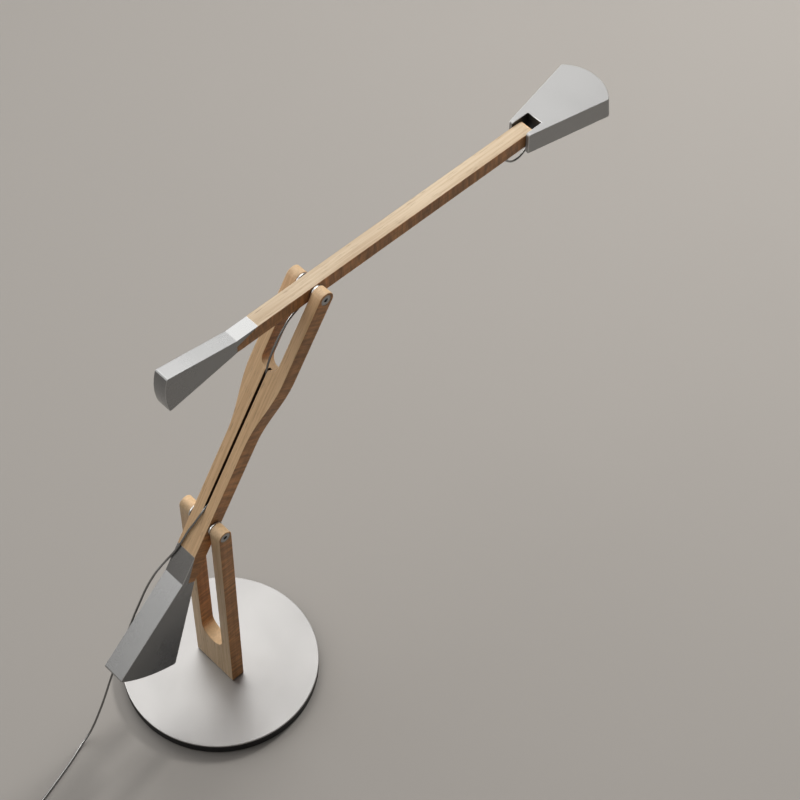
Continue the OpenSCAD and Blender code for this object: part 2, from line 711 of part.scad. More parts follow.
module upper_arm() color(oak) on_upper() difference() {
    across(upper_w) arm_side(upper_len, upper_t, upper_weight_edge, upper_weight_fold);
    translate([groove_from, -groove_w / 2, -upper_t / 2 - over])
        cube([upper_len - groove_gap - groove_from, groove_w, groove_depth + over]);
    rod(bush_d + 2 * fit, -upper_w, upper_w);
    translate([upper_len, 0, 0]) rod(head_bush_d + 2 * fit, -upper_w, upper_w);
    dowel_pair(upper_dowel_d + 2 * fit, upper_dowel_pitch, upper_weight_fold, -upper_t / 4, dowel_l + 2 * fit);
}

module elbow_bush() color(brass) on_upper() bush(bush_d, pivot_d, upper_w);

module upper_counterweight() color(steel) on_upper() difference() {
    across(upper_w) weight_side(upper_t, upper_weight_edge, upper_weight_fold, upper_weight_reach,
        upper_weight_h, upper_weight_crown);
    dowel_pair(upper_dowel_d + 2 * fit, upper_dowel_pitch, upper_weight_fold, -upper_t / 4, dowel_l + 2 * fit);
}

module upper_dowels() color(steel) on_upper()
    dowel_pair(upper_dowel_d, upper_dowel_pitch, upper_weight_fold, -upper_t / 4, dowel_l);

module upper_cable() color(cable_grey) on_upper() translate([upper_cable_from, 0, upper_cable_z])
    rotate([0, 90, 0]) cylinder(d = cord_d, h = upper_cable_to - upper_cable_from);

module head_bush() color(brass) on_head() bush(head_bush_d, head_pin_d, upper_w);

module head_cable() color(cable_grey) tube(smooth(head_route, ring_step), cord_r, lead_sides, [0, 1, 0]);

// Head

// Plan of the head set in from its walls, from a place x0 along it
function head_half_w(x) = head_tip_w / 2 + (x + head_tip) * head_slope;
module head_plan(inset, x0) {
    lean = atan(head_slope);
    drop = inset / cos(lean);
    crown_x = head_corner_x - inset * tan(45 - lean / 2);
    polygon(fan(x0, head_half_w(x0) - drop, crown_x, head_half_w(crown_x) - drop,
        head_reach - inset - crown_x, max(head_corner - inset, least_corner)));
}

// Side outline of the head: a bar with a round on top of its tips' ends
module head_side() {
    length = head_reach * head_flare + head_tip;
    translate([tip_round - head_tip, -head_h / 2]) square([length, head_h]);
    translate([-head_tip, -head_h / 2]) square([length, head_h - tip_round]);
    translate([tip_round - head_tip, head_h / 2 - tip_round]) circle(r = tip_round);
}

module head_housing() color(satin) on_head() difference() {
    intersection() {
        translate([0, 0, -head_h / 2]) linear_extrude(head_h, scale = 1 / head_flare)
            scale(head_flare) head_plan(0, -head_tip);
        across(head_w * head_flare + 2 * over) head_side();
    }
    translate([-head_tip - over, -head_gap / 2, -head_h]) cube([head_slot + head_tip + over, head_gap, 2 * head_h]);
    translate([0, 0, ledge_z]) linear_extrude(roof_z - ledge_z) head_plan(head_wall + ledge_w, cavity_x);
    translate([0, 0, -head_h / 2 - over]) linear_extrude(panel_t + panel_set + over)
        head_plan(head_wall, cavity_x);
    rod(head_pin_d + 2 * fit, -head_gap / 2 - head_pin_grip, head_gap / 2 + head_pin_grip);
    translate([head_slot - over, 0, -wire_drop]) rotate([0, 90, 0])
        cylinder(d = grommet_d + 2 * fit, h = head_web + 2 * over);
    at_board_screws(roof_z - over, roof_z + board_screw_bite, board_screw_d + 2 * fit);
}

module head_pin() color(steel) on_head() rod(head_pin_d, -head_gap / 2 - head_pin_grip + fit,
    head_gap / 2 + head_pin_grip - fit);

module head_washers() color(dark) on_head()
    ring_pair(head_washer_d, head_pin_d + 2 * running, head_gap / 2 - head_washer_t, head_gap / 2);

module head_grommet() color(dark) on_head() translate([head_slot, 0, -wire_drop]) rotate([0, 90, 0])
    difference() {
        cylinder(d = grommet_d, h = head_web);
        translate([0, 0, -over]) cylinder(d = cord_d + 2 * clear, h = head_web + 2 * over);
    }

// Upright cylinders at the screws that hold the board
module at_board_screws(from, to, d) for (p = board_screw_places)
    translate([p.x, p.y, from]) cylinder(d = d, h = to - from);

module heat_spreader() color(satin) on_head() difference() {
    translate([0, 0, roof_z - spreader_t]) linear_extrude(spreader_t)
        head_plan(head_wall + ledge_w + clear, spreader_x);
    at_board_screws(board_z - over, roof_z + over, board_screw_d + 2 * clear);
}

module led_board() color("white") on_head() difference() {
    translate([0, 0, board_z]) linear_extrude(board_t) head_plan(head_wall + ledge_w + 2 * clear, spreader_x);
    at_board_screws(board_z - over, roof_z + over, board_screw_d + 2 * clear);
}

// LED chips on a square grid that stays inside the board's outline and away from its screws
led_rows = floor((head_reach - head_wall - ledge_w - spreader_x) / led_pitch);
module leds() color("khaki") on_head() for (i = [0:led_rows - 1]) {
    x = spreader_x + led_pitch * (i + 0.5);
    room = head_half_w(min(x, head_corner_x)) - head_wall - ledge_w - led_side - led_margin;
    count = floor(room / led_pitch);
    for (j = [-count:count])
        if (clear_of_screws([x, j * led_pitch]) && inside_crown([x, j * led_pitch]))
            translate([x - led_side / 2, j * led_pitch - led_side / 2, board_z - led_h])
                cube([led_side, led_side, led_h]);
}
function clear_of_screws(p) = min([for (s = board_screw_places) norm(p - s)]) >
    board_screw_head_d / 2 + led_side;
function inside_crown(p) = let (r = crown_r(head_w / 2, head_crown))
    norm(p - [head_reach - r, 0]) < r - head_wall - ledge_w - led_side;

module board_screws() color(steel) on_head() {
    at_board_screws(board_z - screw_head_h, board_z, board_screw_head_d);
    at_board_screws(board_z - fit, roof_z + board_screw_bite - fit, board_screw_d);
}

module diffuser() color(opal) on_head() translate([0, 0, ledge_z - panel_t]) linear_extrude(panel_t)
    head_plan(head_wall + fit, spreader_x);

module switch_plate() color(satin) on_head() difference() {
    translate([0, 0, ledge_z - panel_t]) linear_extrude(panel_t) intersection() {
        head_plan(head_wall + fit, cavity_x + fit);
        translate([cavity_x, -head_w]) square([switch_plate_l - fit, 2 * head_w]);
    }
    translate([button_x, 0, -head_h]) cylinder(d = button_d + 2 * running, h = head_h);
}

module switch_body() color(dark) on_head() translate([button_x, 0, ledge_z]) difference() {
    well = flange_t + plunger_h + button_travel + clear;
    cylinder(d = switch_d, h = well + switch_top);
    translate([0, 0, -over]) cylinder(d = button_d + 2 * (flange_w + clear), h = well + over);
}

module push_button() color(dark) on_head() translate([button_x, 0, 0]) {
    seat = ledge_z + running;
    translate([0, 0, -head_h / 2 + panel_set - button_proud])
        cylinder(d = button_d, h = seat + head_h / 2 - panel_set + button_proud);
    translate([0, 0, seat]) cylinder(d = button_d + 2 * flange_w, h = flange_t);
    translate([0, 0, seat + flange_t]) cylinder(d = plunger_d, h = plunger_h);
}

// Lead

module lead() color(cable_grey) tube(smooth(lead_route, ring_step), cord_r, lead_sides, [0, 1, 0]);

module lead_coil() color(cable_grey) tube(coil_path, cord_r, coil_sides, [0, 0, 1]);

// Band round the coil on its +x side
module coil_tie() color(dark) translate([coil_at.x, coil_at.y, 0]) across(tie_w) difference() {
    low = coil_in_r - cord_r - clear;
    high = coil_out_r + cord_r + clear;
    top = coil_top_z + cord_r + clear;
    translate([low - tie_t, 0]) square([high - low + 2 * tie_t, top + tie_t]);
    translate([low, tie_t]) square([high - low, top - tie_t]);
}

// Children drawn at the coil's end, with z along the cable towards the plug
module at_coil_end() translate(coil_end) rotate([90, 0, 0]) children();

module plug_boot() color(dark) at_coil_end() cylinder(d1 = cord_d + 2 * boot_rim, d2 = boot_d, h = boot_l);

module plug_body() color(dark) at_coil_end() translate([0, 0, boot_l]) difference() {
    linear_extrude(plug_l) {
        square([plug_w - 2 * coil_top_z, 2 * coil_top_z], center = true);
        for (side = [-1, 1]) translate([side * (plug_w / 2 - coil_top_z), 0]) circle(r = coil_top_z);
    }
    at_plug_pins(plug_l - plug_pin_root, plug_l + over, plug_pin_d + 2 * fit);
}

module at_plug_pins(from, to, d) for (side = [-1, 1])
    translate([side * plug_pin_pitch / 2, 0, from]) cylinder(d = d, h = to - from);

module plug_pins() color(brass) at_coil_end() translate([0, 0, boot_l])
    at_plug_pins(plug_l - plug_pin_root, plug_l + plug_pin_l, plug_pin_d);

base_pad();
base_weight();
base_plate();
fork_gasket();
base_fork();
fork_bolts();
fork_inserts();
lower_pivot_sleeve();
lower_pivot_screw();
lower_washers();
lower_slip_washers();
lower_arm();
lower_bush();
lower_counterweight();
lower_dowels();
arm_cable();
elbow_pivot_sleeve();
elbow_pivot_screw();
elbow_washers();
elbow_slip_washers();
elbow_cable();
upper_arm();
elbow_bush();
upper_counterweight();
upper_dowels();
upper_cable();
head_bush();
head_cable();
head_housing();
head_pin();
head_washers();
head_grommet();
heat_spreader();
led_board();
leds();
board_screws();
diffuser();
switch_plate();
switch_body();
push_button();
lead();
lead_coil();
coil_tie();
plug_boot();
plug_body();
plug_pins();
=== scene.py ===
"""Looks of the balanced-arm table lamp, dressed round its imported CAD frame.

The frame places every piece. This script swaps the shaped pieces for copies with worked edges, sweeps
the cables as round tubes, adds the small ribs and dots that repeat, gives everything a procedural finish
and sets the camera and the light of the photograph. The sizes of pieces and of the floor are in
millimetres. Meshes, and the places of the camera and the lights, are in metres.
"""

from __future__ import annotations

import json
import logging
import math
from abc import ABC, abstractmethod
from dataclasses import dataclass, field
from enum import Enum
from typing import Callable, Sequence

import bmesh
import bpy
from mathutils import Matrix, Vector

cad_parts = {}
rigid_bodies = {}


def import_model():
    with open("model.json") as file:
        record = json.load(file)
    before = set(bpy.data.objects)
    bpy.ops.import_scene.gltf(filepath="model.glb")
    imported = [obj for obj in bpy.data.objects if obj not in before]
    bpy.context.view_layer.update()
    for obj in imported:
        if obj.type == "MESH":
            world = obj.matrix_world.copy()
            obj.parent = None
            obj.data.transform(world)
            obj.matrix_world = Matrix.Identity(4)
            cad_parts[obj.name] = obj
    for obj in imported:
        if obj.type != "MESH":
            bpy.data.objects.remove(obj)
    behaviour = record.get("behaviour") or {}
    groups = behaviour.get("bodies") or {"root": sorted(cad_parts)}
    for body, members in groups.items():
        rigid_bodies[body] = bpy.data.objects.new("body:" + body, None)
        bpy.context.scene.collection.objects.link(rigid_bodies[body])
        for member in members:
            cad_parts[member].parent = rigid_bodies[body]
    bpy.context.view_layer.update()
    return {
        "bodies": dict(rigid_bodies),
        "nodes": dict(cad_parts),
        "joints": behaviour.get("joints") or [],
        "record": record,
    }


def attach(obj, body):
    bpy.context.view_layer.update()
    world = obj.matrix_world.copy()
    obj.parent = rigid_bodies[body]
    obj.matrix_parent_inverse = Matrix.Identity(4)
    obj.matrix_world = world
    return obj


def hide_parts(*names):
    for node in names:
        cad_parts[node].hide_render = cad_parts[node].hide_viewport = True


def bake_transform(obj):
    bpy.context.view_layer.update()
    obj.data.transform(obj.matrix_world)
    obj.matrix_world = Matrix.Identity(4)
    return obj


LOG = logging.getLogger("lamp")
MM = 0.001
CORD_D = 2.2

Triple = tuple[float, float, float]
Pair = tuple[float, float]
Colour = Triple
Route = tuple[Triple, ...]
Rings = Sequence[Sequence[bmesh.types.BMVert]]
EdgeShare = Callable[[Vector], float]
FaceShare = Callable[[bpy.types.MeshPolygon], float]
Nodes = dict[str, bpy.types.Object]


class Body(str, Enum):
    """Rigid bodies of the CAD frame."""

    BASE = "base"
    LOWER = "lower_arm"
    UPPER = "upper_arm"
    HEAD = "head"
    BUTTON = "button"


class Slot(str, Enum):
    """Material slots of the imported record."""

    RUBBER = "rubber_black"
    CAST = "cast_black"
    PLATE = "satin_plate"
    OAK = "oak"
    PIVOT = "pivot_steel"
    WEIGHT = "weight_steel"
    WASHER = "bright_washer"
    NYLON = "black_nylon"
    BRASS = "brass"
    CABLE = "cable_grey"
    HEAD = "head_aluminium"
    OPAL = "opal"
    PLUG = "plug_black"


class Mark(str, Enum):
    """Numbers from 0 to 1 that the faces of a mesh carry for its finish."""

    # Faces that look along y, painted darker as shade.
    SIDE = "side_face"
    END = "end_face"
    # Rounded edges, painted lighter as wear with a highlight.
    EDGE = "edge_face"
    # Faces in a slot, painted darker as shade.
    RECESS = "recess_face"


# Frames of the arms


@dataclass(frozen=True)
class ArmFrame:
    """Frame of an arm: x along it, z out of its top face, the origin at its pivot."""

    pivot_x: float
    pivot_z: float
    tilt_deg: float

    @property
    def turn(self) -> Pair:
        """Cosine and sine of the tilt."""
        return math.cos(math.radians(self.tilt_deg)), math.sin(math.radians(self.tilt_deg))

    def at(self, x: float, y: float, z: float) -> Vector:
        """Turn a place on the arm, in mm, into a place in the object's frame, in metres."""
        c, s = self.turn
        return Vector((self.pivot_x + x * c - z * s, y, self.pivot_z + x * s + z * c)) * MM

    def local(self, place: Vector) -> Vector:
        """Turn a place in the object's frame into a place on the arm.

        Args:
            place: The place in metres.

        Returns:
            The place on the arm in mm.
        """
        c, s = self.turn
        dx, dz = place.x / MM - self.pivot_x, place.z / MM - self.pivot_z
        return Vector((dx * c + dz * s, place.y / MM, -dx * s + dz * c))

    def carried(self, x: float, tilt_deg: float) -> ArmFrame:
        """Frame of what turns on this arm at a distance x along it, in mm."""
        pivot = self.at(x, 0, 0) / MM
        return ArmFrame(pivot.x, pivot.z, tilt_deg)


LOWER_LEN = 268.0
UPPER_LEN = 270.0
UPPER_TILT = -0.7
GAP_FLOOR = 177.0
LOWER_FRAME = ArmFrame(0.0, 272.0, 58.3)
UPPER_FRAME = LOWER_FRAME.carried(LOWER_LEN, UPPER_TILT)
HEAD_FRAME = UPPER_FRAME.carried(UPPER_LEN, UPPER_TILT)


# Meshes

MERGE_DISTANCE = 4e-6
FLAT_DEG = 0.5
ROUNDED_DEG = 32.0
NO_FOLD_DEG = 180.0
BROAD_FACE_M2 = 1e-4
ALONG_Y = 0.95


def ramp(value: float, low: float, high: float) -> float:
    """Share of the way from low to high, held between 0 and 1."""
    return min(1.0, max(0.0, (value - low) / (high - low)))


def smooth_route(route: Sequence[Vector], step: float) -> list[Vector]:
    """Run a Catmull-Rom curve through the points of a route.

    Args:
        route: The points, in metres.
        step: About how far apart the points of the curve are, in metres.

    Returns:
        The points of the curve, in metres.
    """
    last = len(route) - 1
    path: list[Vector] = []
    for i in range(last):
        a, b = route[max(i - 1, 0)], route[i]
        c, d = route[i + 1], route[min(i + 2, last)]
        count = max(1, round((c - b).length / step))
        for j in range(count):
            t = j / count
            path.append((2 * b + (c - a) * t + (2 * a - 5 * b + 4 * c - d) * t**2
                         + (3 * b - a - 3 * c + d) * t**3) / 2)
    return path + [route[last].copy()]


def path_length(path: Sequence[Vector]) -> float:
    """Length of a path, in its points' unit."""
    return sum((b - a).length for a, b in zip(path, path[1:]))


def arc(cx: float, cz: float, r: float, start: float, end: float, steps: int = 4) -> list[Pair]:
    """Points on an arc about a centre, from one angle to another in degrees."""
    turns = [math.radians(start + (end - start) * i / steps) for i in range(steps + 1)]
    return [(cx + r * math.cos(t), cz + r * math.sin(t)) for t in turns]


def skin(bm: bmesh.types.BMesh, rings: Rings) -> list[bmesh.types.BMFace]:
    """Join each ring of points to the next with faces.

    Args:
        bm: The bmesh that holds the points.
        rings: The rings, with as many points each, apart from a pole, which has one.

    Returns:
        The faces, ring by ring.
    """
    faces: list[bmesh.types.BMFace] = []
    for low, high in zip(rings, rings[1:]):
        count = max(len(low), len(high))
        for k in range(count):
            m = (k + 1) % count
            corners = (low[k % len(low)], low[m % len(low)], high[m % len(high)], high[k % len(high)])
            faces.append(bm.faces.new(list(dict.fromkeys(corners))))
    return faces


def close_ends(bm: bmesh.types.BMesh, rings: Rings) -> None:
    """Close the first and the last ring with a face each."""
    bm.faces.new(list(reversed(rings[0])))
    bm.faces.new(rings[-1])


def mesh_object(name: str, bm: bmesh.types.BMesh) -> bpy.types.Object:
    """Turn a bmesh into an object in the scene, with its normals outward.

    Args:
        name: The object's name.
        bm: The bmesh, which is freed.

    Returns:
        The object, at the origin.
    """
    bmesh.ops.recalc_face_normals(bm, faces=bm.faces)
    mesh = bpy.data.meshes.new(name)
    bm.to_mesh(mesh)
    bm.free()
    obj = bpy.data.objects.new(name, mesh)
    bpy.context.scene.collection.objects.link(obj)
    return obj


def settle(obj: bpy.types.Object) -> bpy.types.Object:
    """Apply an object's modifiers to its mesh and remove them.

    Args:
        obj: The object.

    Returns:
        The same object.
    """
    graph = bpy.context.evaluated_depsgraph_get()
    mesh = bpy.data.meshes.new_from_object(obj.evaluated_get(graph), depsgraph=graph)
    old = obj.data
    obj.modifiers.clear()
    obj.data = mesh
    bpy.data.meshes.remove(old)
    mesh.name = obj.name
    return obj


def even_shading(
    obj: bpy.types.Object, sharp_deg: float = 50.0, fold_deg: float = NO_FOLD_DEG
) -> bpy.types.Object:
    """Shade smoothly, with sharp edges kept and flat faces left flat.

    Args:
        obj: The object.
        sharp_deg: Edges that turn more than this stay sharp.
        fold_deg: Edges along y between two broad faces stay sharp when they turn more than this.

    Returns:
        The same object, its modifiers applied.
    """
    obj.data.shade_smooth()
    obj.data.set_sharp_from_angle(angle=math.radians(sharp_deg))
    bm = bmesh.new()
    bm.from_mesh(obj.data)
    for edge in bm.edges:
        way = (edge.verts[1].co - edge.verts[0].co).normalized()
        faces = edge.link_faces
        broad = len(faces) == 2 and min(face.calc_area() for face in faces) > BROAD_FACE_M2
        if broad and abs(way.y) > ALONG_Y and edge.calc_face_angle(0.0) > math.radians(fold_deg):
            edge.smooth = False
            # The edges that carry the fold on over the rounding stay sharp too
            for other in (e for vert in edge.verts for e in vert.link_edges):
                if not set(other.link_faces) & set(faces):
                    other.smooth = False
    bm.to_mesh(obj.data)
    bm.free()
    weighted = obj.modifiers.new("even", "WEIGHTED_NORMAL")
    weighted.weight = 100
    weighted.keep_sharp = True
    return settle(obj)


def tube(name: str, path: Sequence[Vector], radius: float, sides: int = 14) -> bpy.types.Object:
    """Sweep a round tube along a path, with closed ends and a UV map.

    Args:
        name: The object's name.
        path: Points of the middle line, in metres.
        radius: The tube's radius, in metres.
        sides: Number of sides.

    Returns:
        The tube; u runs round it and v along it in metres.
    """
    last = len(path) - 1
    ways = [(path[min(i + 1, last)] - path[max(i - 1, 0)]).normalized() for i in range(last + 1)]
    turns = [2 * math.pi * k / sides for k in range(sides)]
    out = ways[0].orthogonal().normalized()
    bm = bmesh.new()
    uv_layer = bm.loops.layers.uv.new("UVMap")
    rings: list[list[bmesh.types.BMVert]] = []
    runs = [0.0]
    for i, (point, way) in enumerate(zip(path, ways)):
        out = (out - way * out.dot(way)).normalized()
        side = way.cross(out)
        spokes = [math.cos(t) * out + math.sin(t) * side for t in turns]
        rings.append([bm.verts.new(point + radius * spoke) for spoke in spokes])
        if i:
            runs.append(runs[-1] + (point - path[i - 1]).length)
    for number, face in enumerate(skin(bm, rings)):
        i, k = divmod(number, sides)
        face.smooth = True
        for loop, u, v in zip(face.loops, (k, k + 1, k + 1, k), (i, i, i + 1, i + 1)):
            loop[uv_layer].uv = (u / sides, runs[v])
    close_ends(bm, rings)
    return mesh_object(name, bm)


def lathe(name: str, outline: Sequence[Pair], segments: int = 192) -> bpy.types.Object:
    """Turn an outline about the z axis.

    Args:
        name: The object's name.
        outline: Radius and height of each point, in mm, where a radius of 0 is a pole.
        segments: Number of segments round the axis.

    Returns:
        The turned piece, smoothly shaded.
    """
    bm = bmesh.new()
    rings: list[list[bmesh.types.BMVert]] = []
    for r, z in outline:
        count = 1 if r == 0 else segments
        turns = [2 * math.pi * k / segments for k in range(count)]
        rings.append([bm.verts.new((r * MM * math.cos(t), r * MM * math.sin(t), z * MM)) for t in turns])
    skin(bm, rings)
    return even_shading(mesh_object(name, bm), sharp_deg=30.0)


def loft(name: str, sections: Sequence[Sequence[Vector]]) -> bpy.types.Object:
    """Skin closed sections that have the same number of points.

    Args:
        name: The object's name.
        sections: The sections from one end to the other, in metres.

    Returns:
        The skinned piece with closed ends, smoothly shaded.
    """
    bm = bmesh.new()
    rings = [[bm.verts.new(p) for p in section] for section in sections]
    skin(bm, rings)
    close_ends(bm, rings)
    return even_shading(mesh_object(name, bm))


def mark_faces(obj: bpy.types.Object, mark: Mark, share: FaceShare) -> None:
    """Store a number on each face.

    Args:
        obj: The object, whose mesh gets the attribute.
        mark: What the number says.
        share: Gives a face's number.
    """
    marks = obj.data.attributes.new(mark.value, "FLOAT", "FACE")
    for polygon in obj.data.polygons:
        marks.data[polygon.index].value = share(polygon)


def side_shade_share(polygon: bpy.types.MeshPolygon) -> float:
    """How much a face looks sideways, along y, from 0 to 1, which sets its painted shade."""
    return ramp(abs(polygon.normal.y), 0.5, 0.85)


def across_grain(grain_deg: float) -> FaceShare:
    """How much a face cuts across a grain that rises by an angle in the xz plane, from 0 to 1."""
    axis = Vector((math.cos(math.radians(grain_deg)), 0.0, math.sin(math.radians(grain_deg))))
    return lambda polygon: ramp(abs(polygon.normal.dot(axis)), 0.2, 0.8)


def worked_edges(
    node: bpy.types.Object, width: float, segments: int = 2, share: EdgeShare | None = None,
    fold_deg: float = NO_FOLD_DEG,
) -> bpy.types.Object:
    """Copy a CAD node and round its outer edges.

    Args:
        node: The CAD node, which stays as it is.
        width: Width of the rounding, in mm.
        segments: Number of segments in the rounding.
        share: Gives the share of the width, from 0 to 1, for an edge with its middle at a place in metres.
        fold_deg: Folds along y between two broad faces stay sharp when they turn more than this.

    Returns:
        The copy, named after the node.
    """
    bm = bmesh.new()
    bm.from_mesh(node.data)
    bmesh.ops.remove_doubles(bm, verts=bm.verts, dist=MERGE_DISTANCE)
    bmesh.ops.dissolve_limit(bm, angle_limit=math.radians(FLAT_DEG), verts=bm.verts, edges=bm.edges)
    bmesh.ops.recalc_face_normals(bm, faces=bm.faces)
    weights = bm.edges.layers.float.new("bevel_weight_edge")
    for edge in bm.edges:
        outer = len(edge.link_faces) == 2 and edge.is_convex
        if outer and edge.calc_face_angle(0.0) > math.radians(ROUNDED_DEG):
            middle = (edge.verts[0].co + edge.verts[1].co) / 2
            edge[weights] = 1.0 if share is None else share(middle)
    obj = mesh_object(f"{node.name}_look", bm)
    # The rounding takes a second, empty material slot, which tells its faces apart until they are marked
    for _ in range(2):
        obj.data.materials.append(None)
    bevel = obj.modifiers.new("edges", "BEVEL")
    bevel.limit_method = "WEIGHT"
    bevel.offset_type = "OFFSET"
    bevel.width = width * MM
    bevel.segments = segments
    bevel.use_clamp_overlap = False
    bevel.miter_outer = "MITER_ARC"
    bevel.material = 1
    settle(obj)
    # The rounding's faces are marked for lighter edges: wear and a painted highlight.
    mark_faces(obj, Mark.EDGE, lambda polygon: float(polygon.material_index == 1))
    for polygon in obj.data.polygons:
        polygon.material_index = 0
    return even_shading(obj, fold_deg=fold_deg)


# Node trees


@dataclass(frozen=True)
class Noise:
    """A noise pattern: how often it changes along x, y and z, and what it is made of."""

    scale: Triple = (1.0, 1.0, 1.0)
    detail: float = 2.0
    roughness: float = 0.5
    distortion: float = 0.0


class Graph:
    """Adds nodes to a node tree and links them."""

    def __init__(self, tree: bpy.types.NodeTree) -> None:
        """Take over a tree, and add nodes from its first column on."""
        self.tree = tree
        self.column = 0

    def fill(self, node: bpy.types.Node, inputs: dict[str | int, object]) -> None:
        """Link or set a node's inputs.

        Args:
            node: The node.
            inputs: For each input, by name or number, a socket to link or a value to set.
        """
        for key, value in inputs.items():
            if isinstance(value, bpy.types.NodeSocket):
                self.tree.links.new(value, node.inputs[key])
            else:
                node.inputs[key].default_value = value

    def add(
        self, kind: str, inputs: dict[str | int, object] | None = None, **settings: object
    ) -> bpy.types.Node:
        """Add a node.

        Args:
            kind: The node's type.
            inputs: For each input, by name or number, a socket to link or a value to set.
            settings: Properties of the node.

        Returns:
            The node.
        """
        node = self.tree.nodes.new(kind)
        node.location = (self.column * 180.0, 0.0)
        self.column += 1
        for key, value in settings.items():
            setattr(node, key, value)
        self.fill(node, inputs or {})
        return node

    def math(self, operation: str, a: object, b: object = 0.0, clamp: bool = False) -> bpy.types.NodeSocket:
        """Work out a number from two sockets or numbers, held between 0 and 1 where clamp says so."""
        node = self.add("ShaderNodeMath", {0: a, 1: b}, operation=operation, use_clamp=clamp)
        return node.outputs[0]

    def mix(self, factor: object, a: object, b: object, blend: str = "MIX") -> bpy.types.NodeSocket:
        """Mix two colours, which are sockets or have an alpha."""
        node = self.add("ShaderNodeMix", {0: factor, 6: a, 7: b}, data_type="RGBA", blend_type=blend)
        return node.outputs[2]

    def noise(self, vector: bpy.types.NodeSocket, scale: object, kind: Noise) -> bpy.types.NodeSocket:
        """Add noise from 0 to 1 of a kind, at a scale that is the same along x, y and z."""
        node = self.add("ShaderNodeTexNoise", {
            "Vector": vector, "Scale": scale, "Detail": kind.detail, "Roughness": kind.roughness,
            "Distortion": kind.distortion})
        return node.outputs["Fac"]

    def pattern(self, vector: bpy.types.NodeSocket, kind: Noise) -> bpy.types.NodeSocket:
        """Add noise from 0 to 1 of a kind, at its own scale along x, y and z."""
        scaled = self.add("ShaderNodeVectorMath", {0: vector, 1: kind.scale}, operation="MULTIPLY")
        return self.noise(scaled.outputs[0], 1.0, kind)

    def remap(
        self, value: object, given: Sequence[object], wanted: Sequence[object] = (0.0, 1.0)
    ) -> bpy.types.NodeSocket:
        """Map a range onto another, clamped."""
        inputs = dict(enumerate((value, *given, *wanted)))
        return self.add("ShaderNodeMapRange", inputs).outputs[0]

    def grey(self, value: bpy.types.NodeSocket) -> bpy.types.NodeSocket:
        """Turn a number into a grey."""
        return self.add("ShaderNodeCombineColor", {0: value, 1: value, 2: value}).outputs[0]

    def vector(self, **parts: object) -> bpy.types.NodeSocket:
        """Make a vector from the parts X, Y and Z that are named."""
        return self.add("ShaderNodeCombineXYZ", dict(parts)).outputs[0]

    def coordinates(self, kind: str = "Object") -> bpy.types.NodeSocket:
        """Read the place on the surface."""
        return self.add("ShaderNodeTexCoord").outputs[kind]

    def mark(self, mark: Mark) -> bpy.types.NodeSocket:
        """Read a number that the mesh's faces carry."""
        return self.add("ShaderNodeAttribute", attribute_name=mark.value).outputs["Fac"]

    def bump(self, height: bpy.types.NodeSocket, strength: float, distance: float) -> bpy.types.NodeSocket:
        """Turn a height into a normal."""
        node = self.add("ShaderNodeBump", {"Height": height, "Strength": strength, "Distance": distance})
        return node.outputs[0]

    def length(self, vector: bpy.types.NodeSocket) -> bpy.types.NodeSocket:
        """Measure a vector."""
        return self.add("ShaderNodeVectorMath", {0: vector}, operation="LENGTH").outputs["Value"]


class SocketKind(str, Enum):
    """Types of the sockets that node groups have."""

    FLOAT = "NodeSocketFloat"
    INT = "NodeSocketInt"
    COLOUR = "NodeSocketColor"
    VECTOR = "NodeSocketVector"
    GEOMETRY = "NodeSocketGeometry"
    MATERIAL = "NodeSocketMaterial"


class TreeKind(str, Enum):
    """Types of node groups."""

    SHADER = "ShaderNodeTree"
    GEOMETRY = "GeometryNodeTree"


def new_group(
    name: str, kind: TreeKind, inputs: dict[str, SocketKind], outputs: dict[str, SocketKind]
) -> tuple[Graph, bpy.types.Node, bpy.types.Node]:
    """Start a node group.

    Args:
        name: The group's name.
        kind: The tree's type.
        inputs: Its inputs.
        outputs: Its outputs.

    Returns:
        The graph to add to, the input node and the output node.
    """
    tree = bpy.data.node_groups.new(name, kind.value)
    for way, sockets in (("INPUT", inputs), ("OUTPUT", outputs)):
        for socket_name, socket_kind in sockets.items():
            tree.interface.new_socket(name=socket_name, in_out=way, socket_type=socket_kind.value)
    graph = Graph(tree)
    return graph, graph.add("NodeGroupInput"), graph.add("NodeGroupOutput")


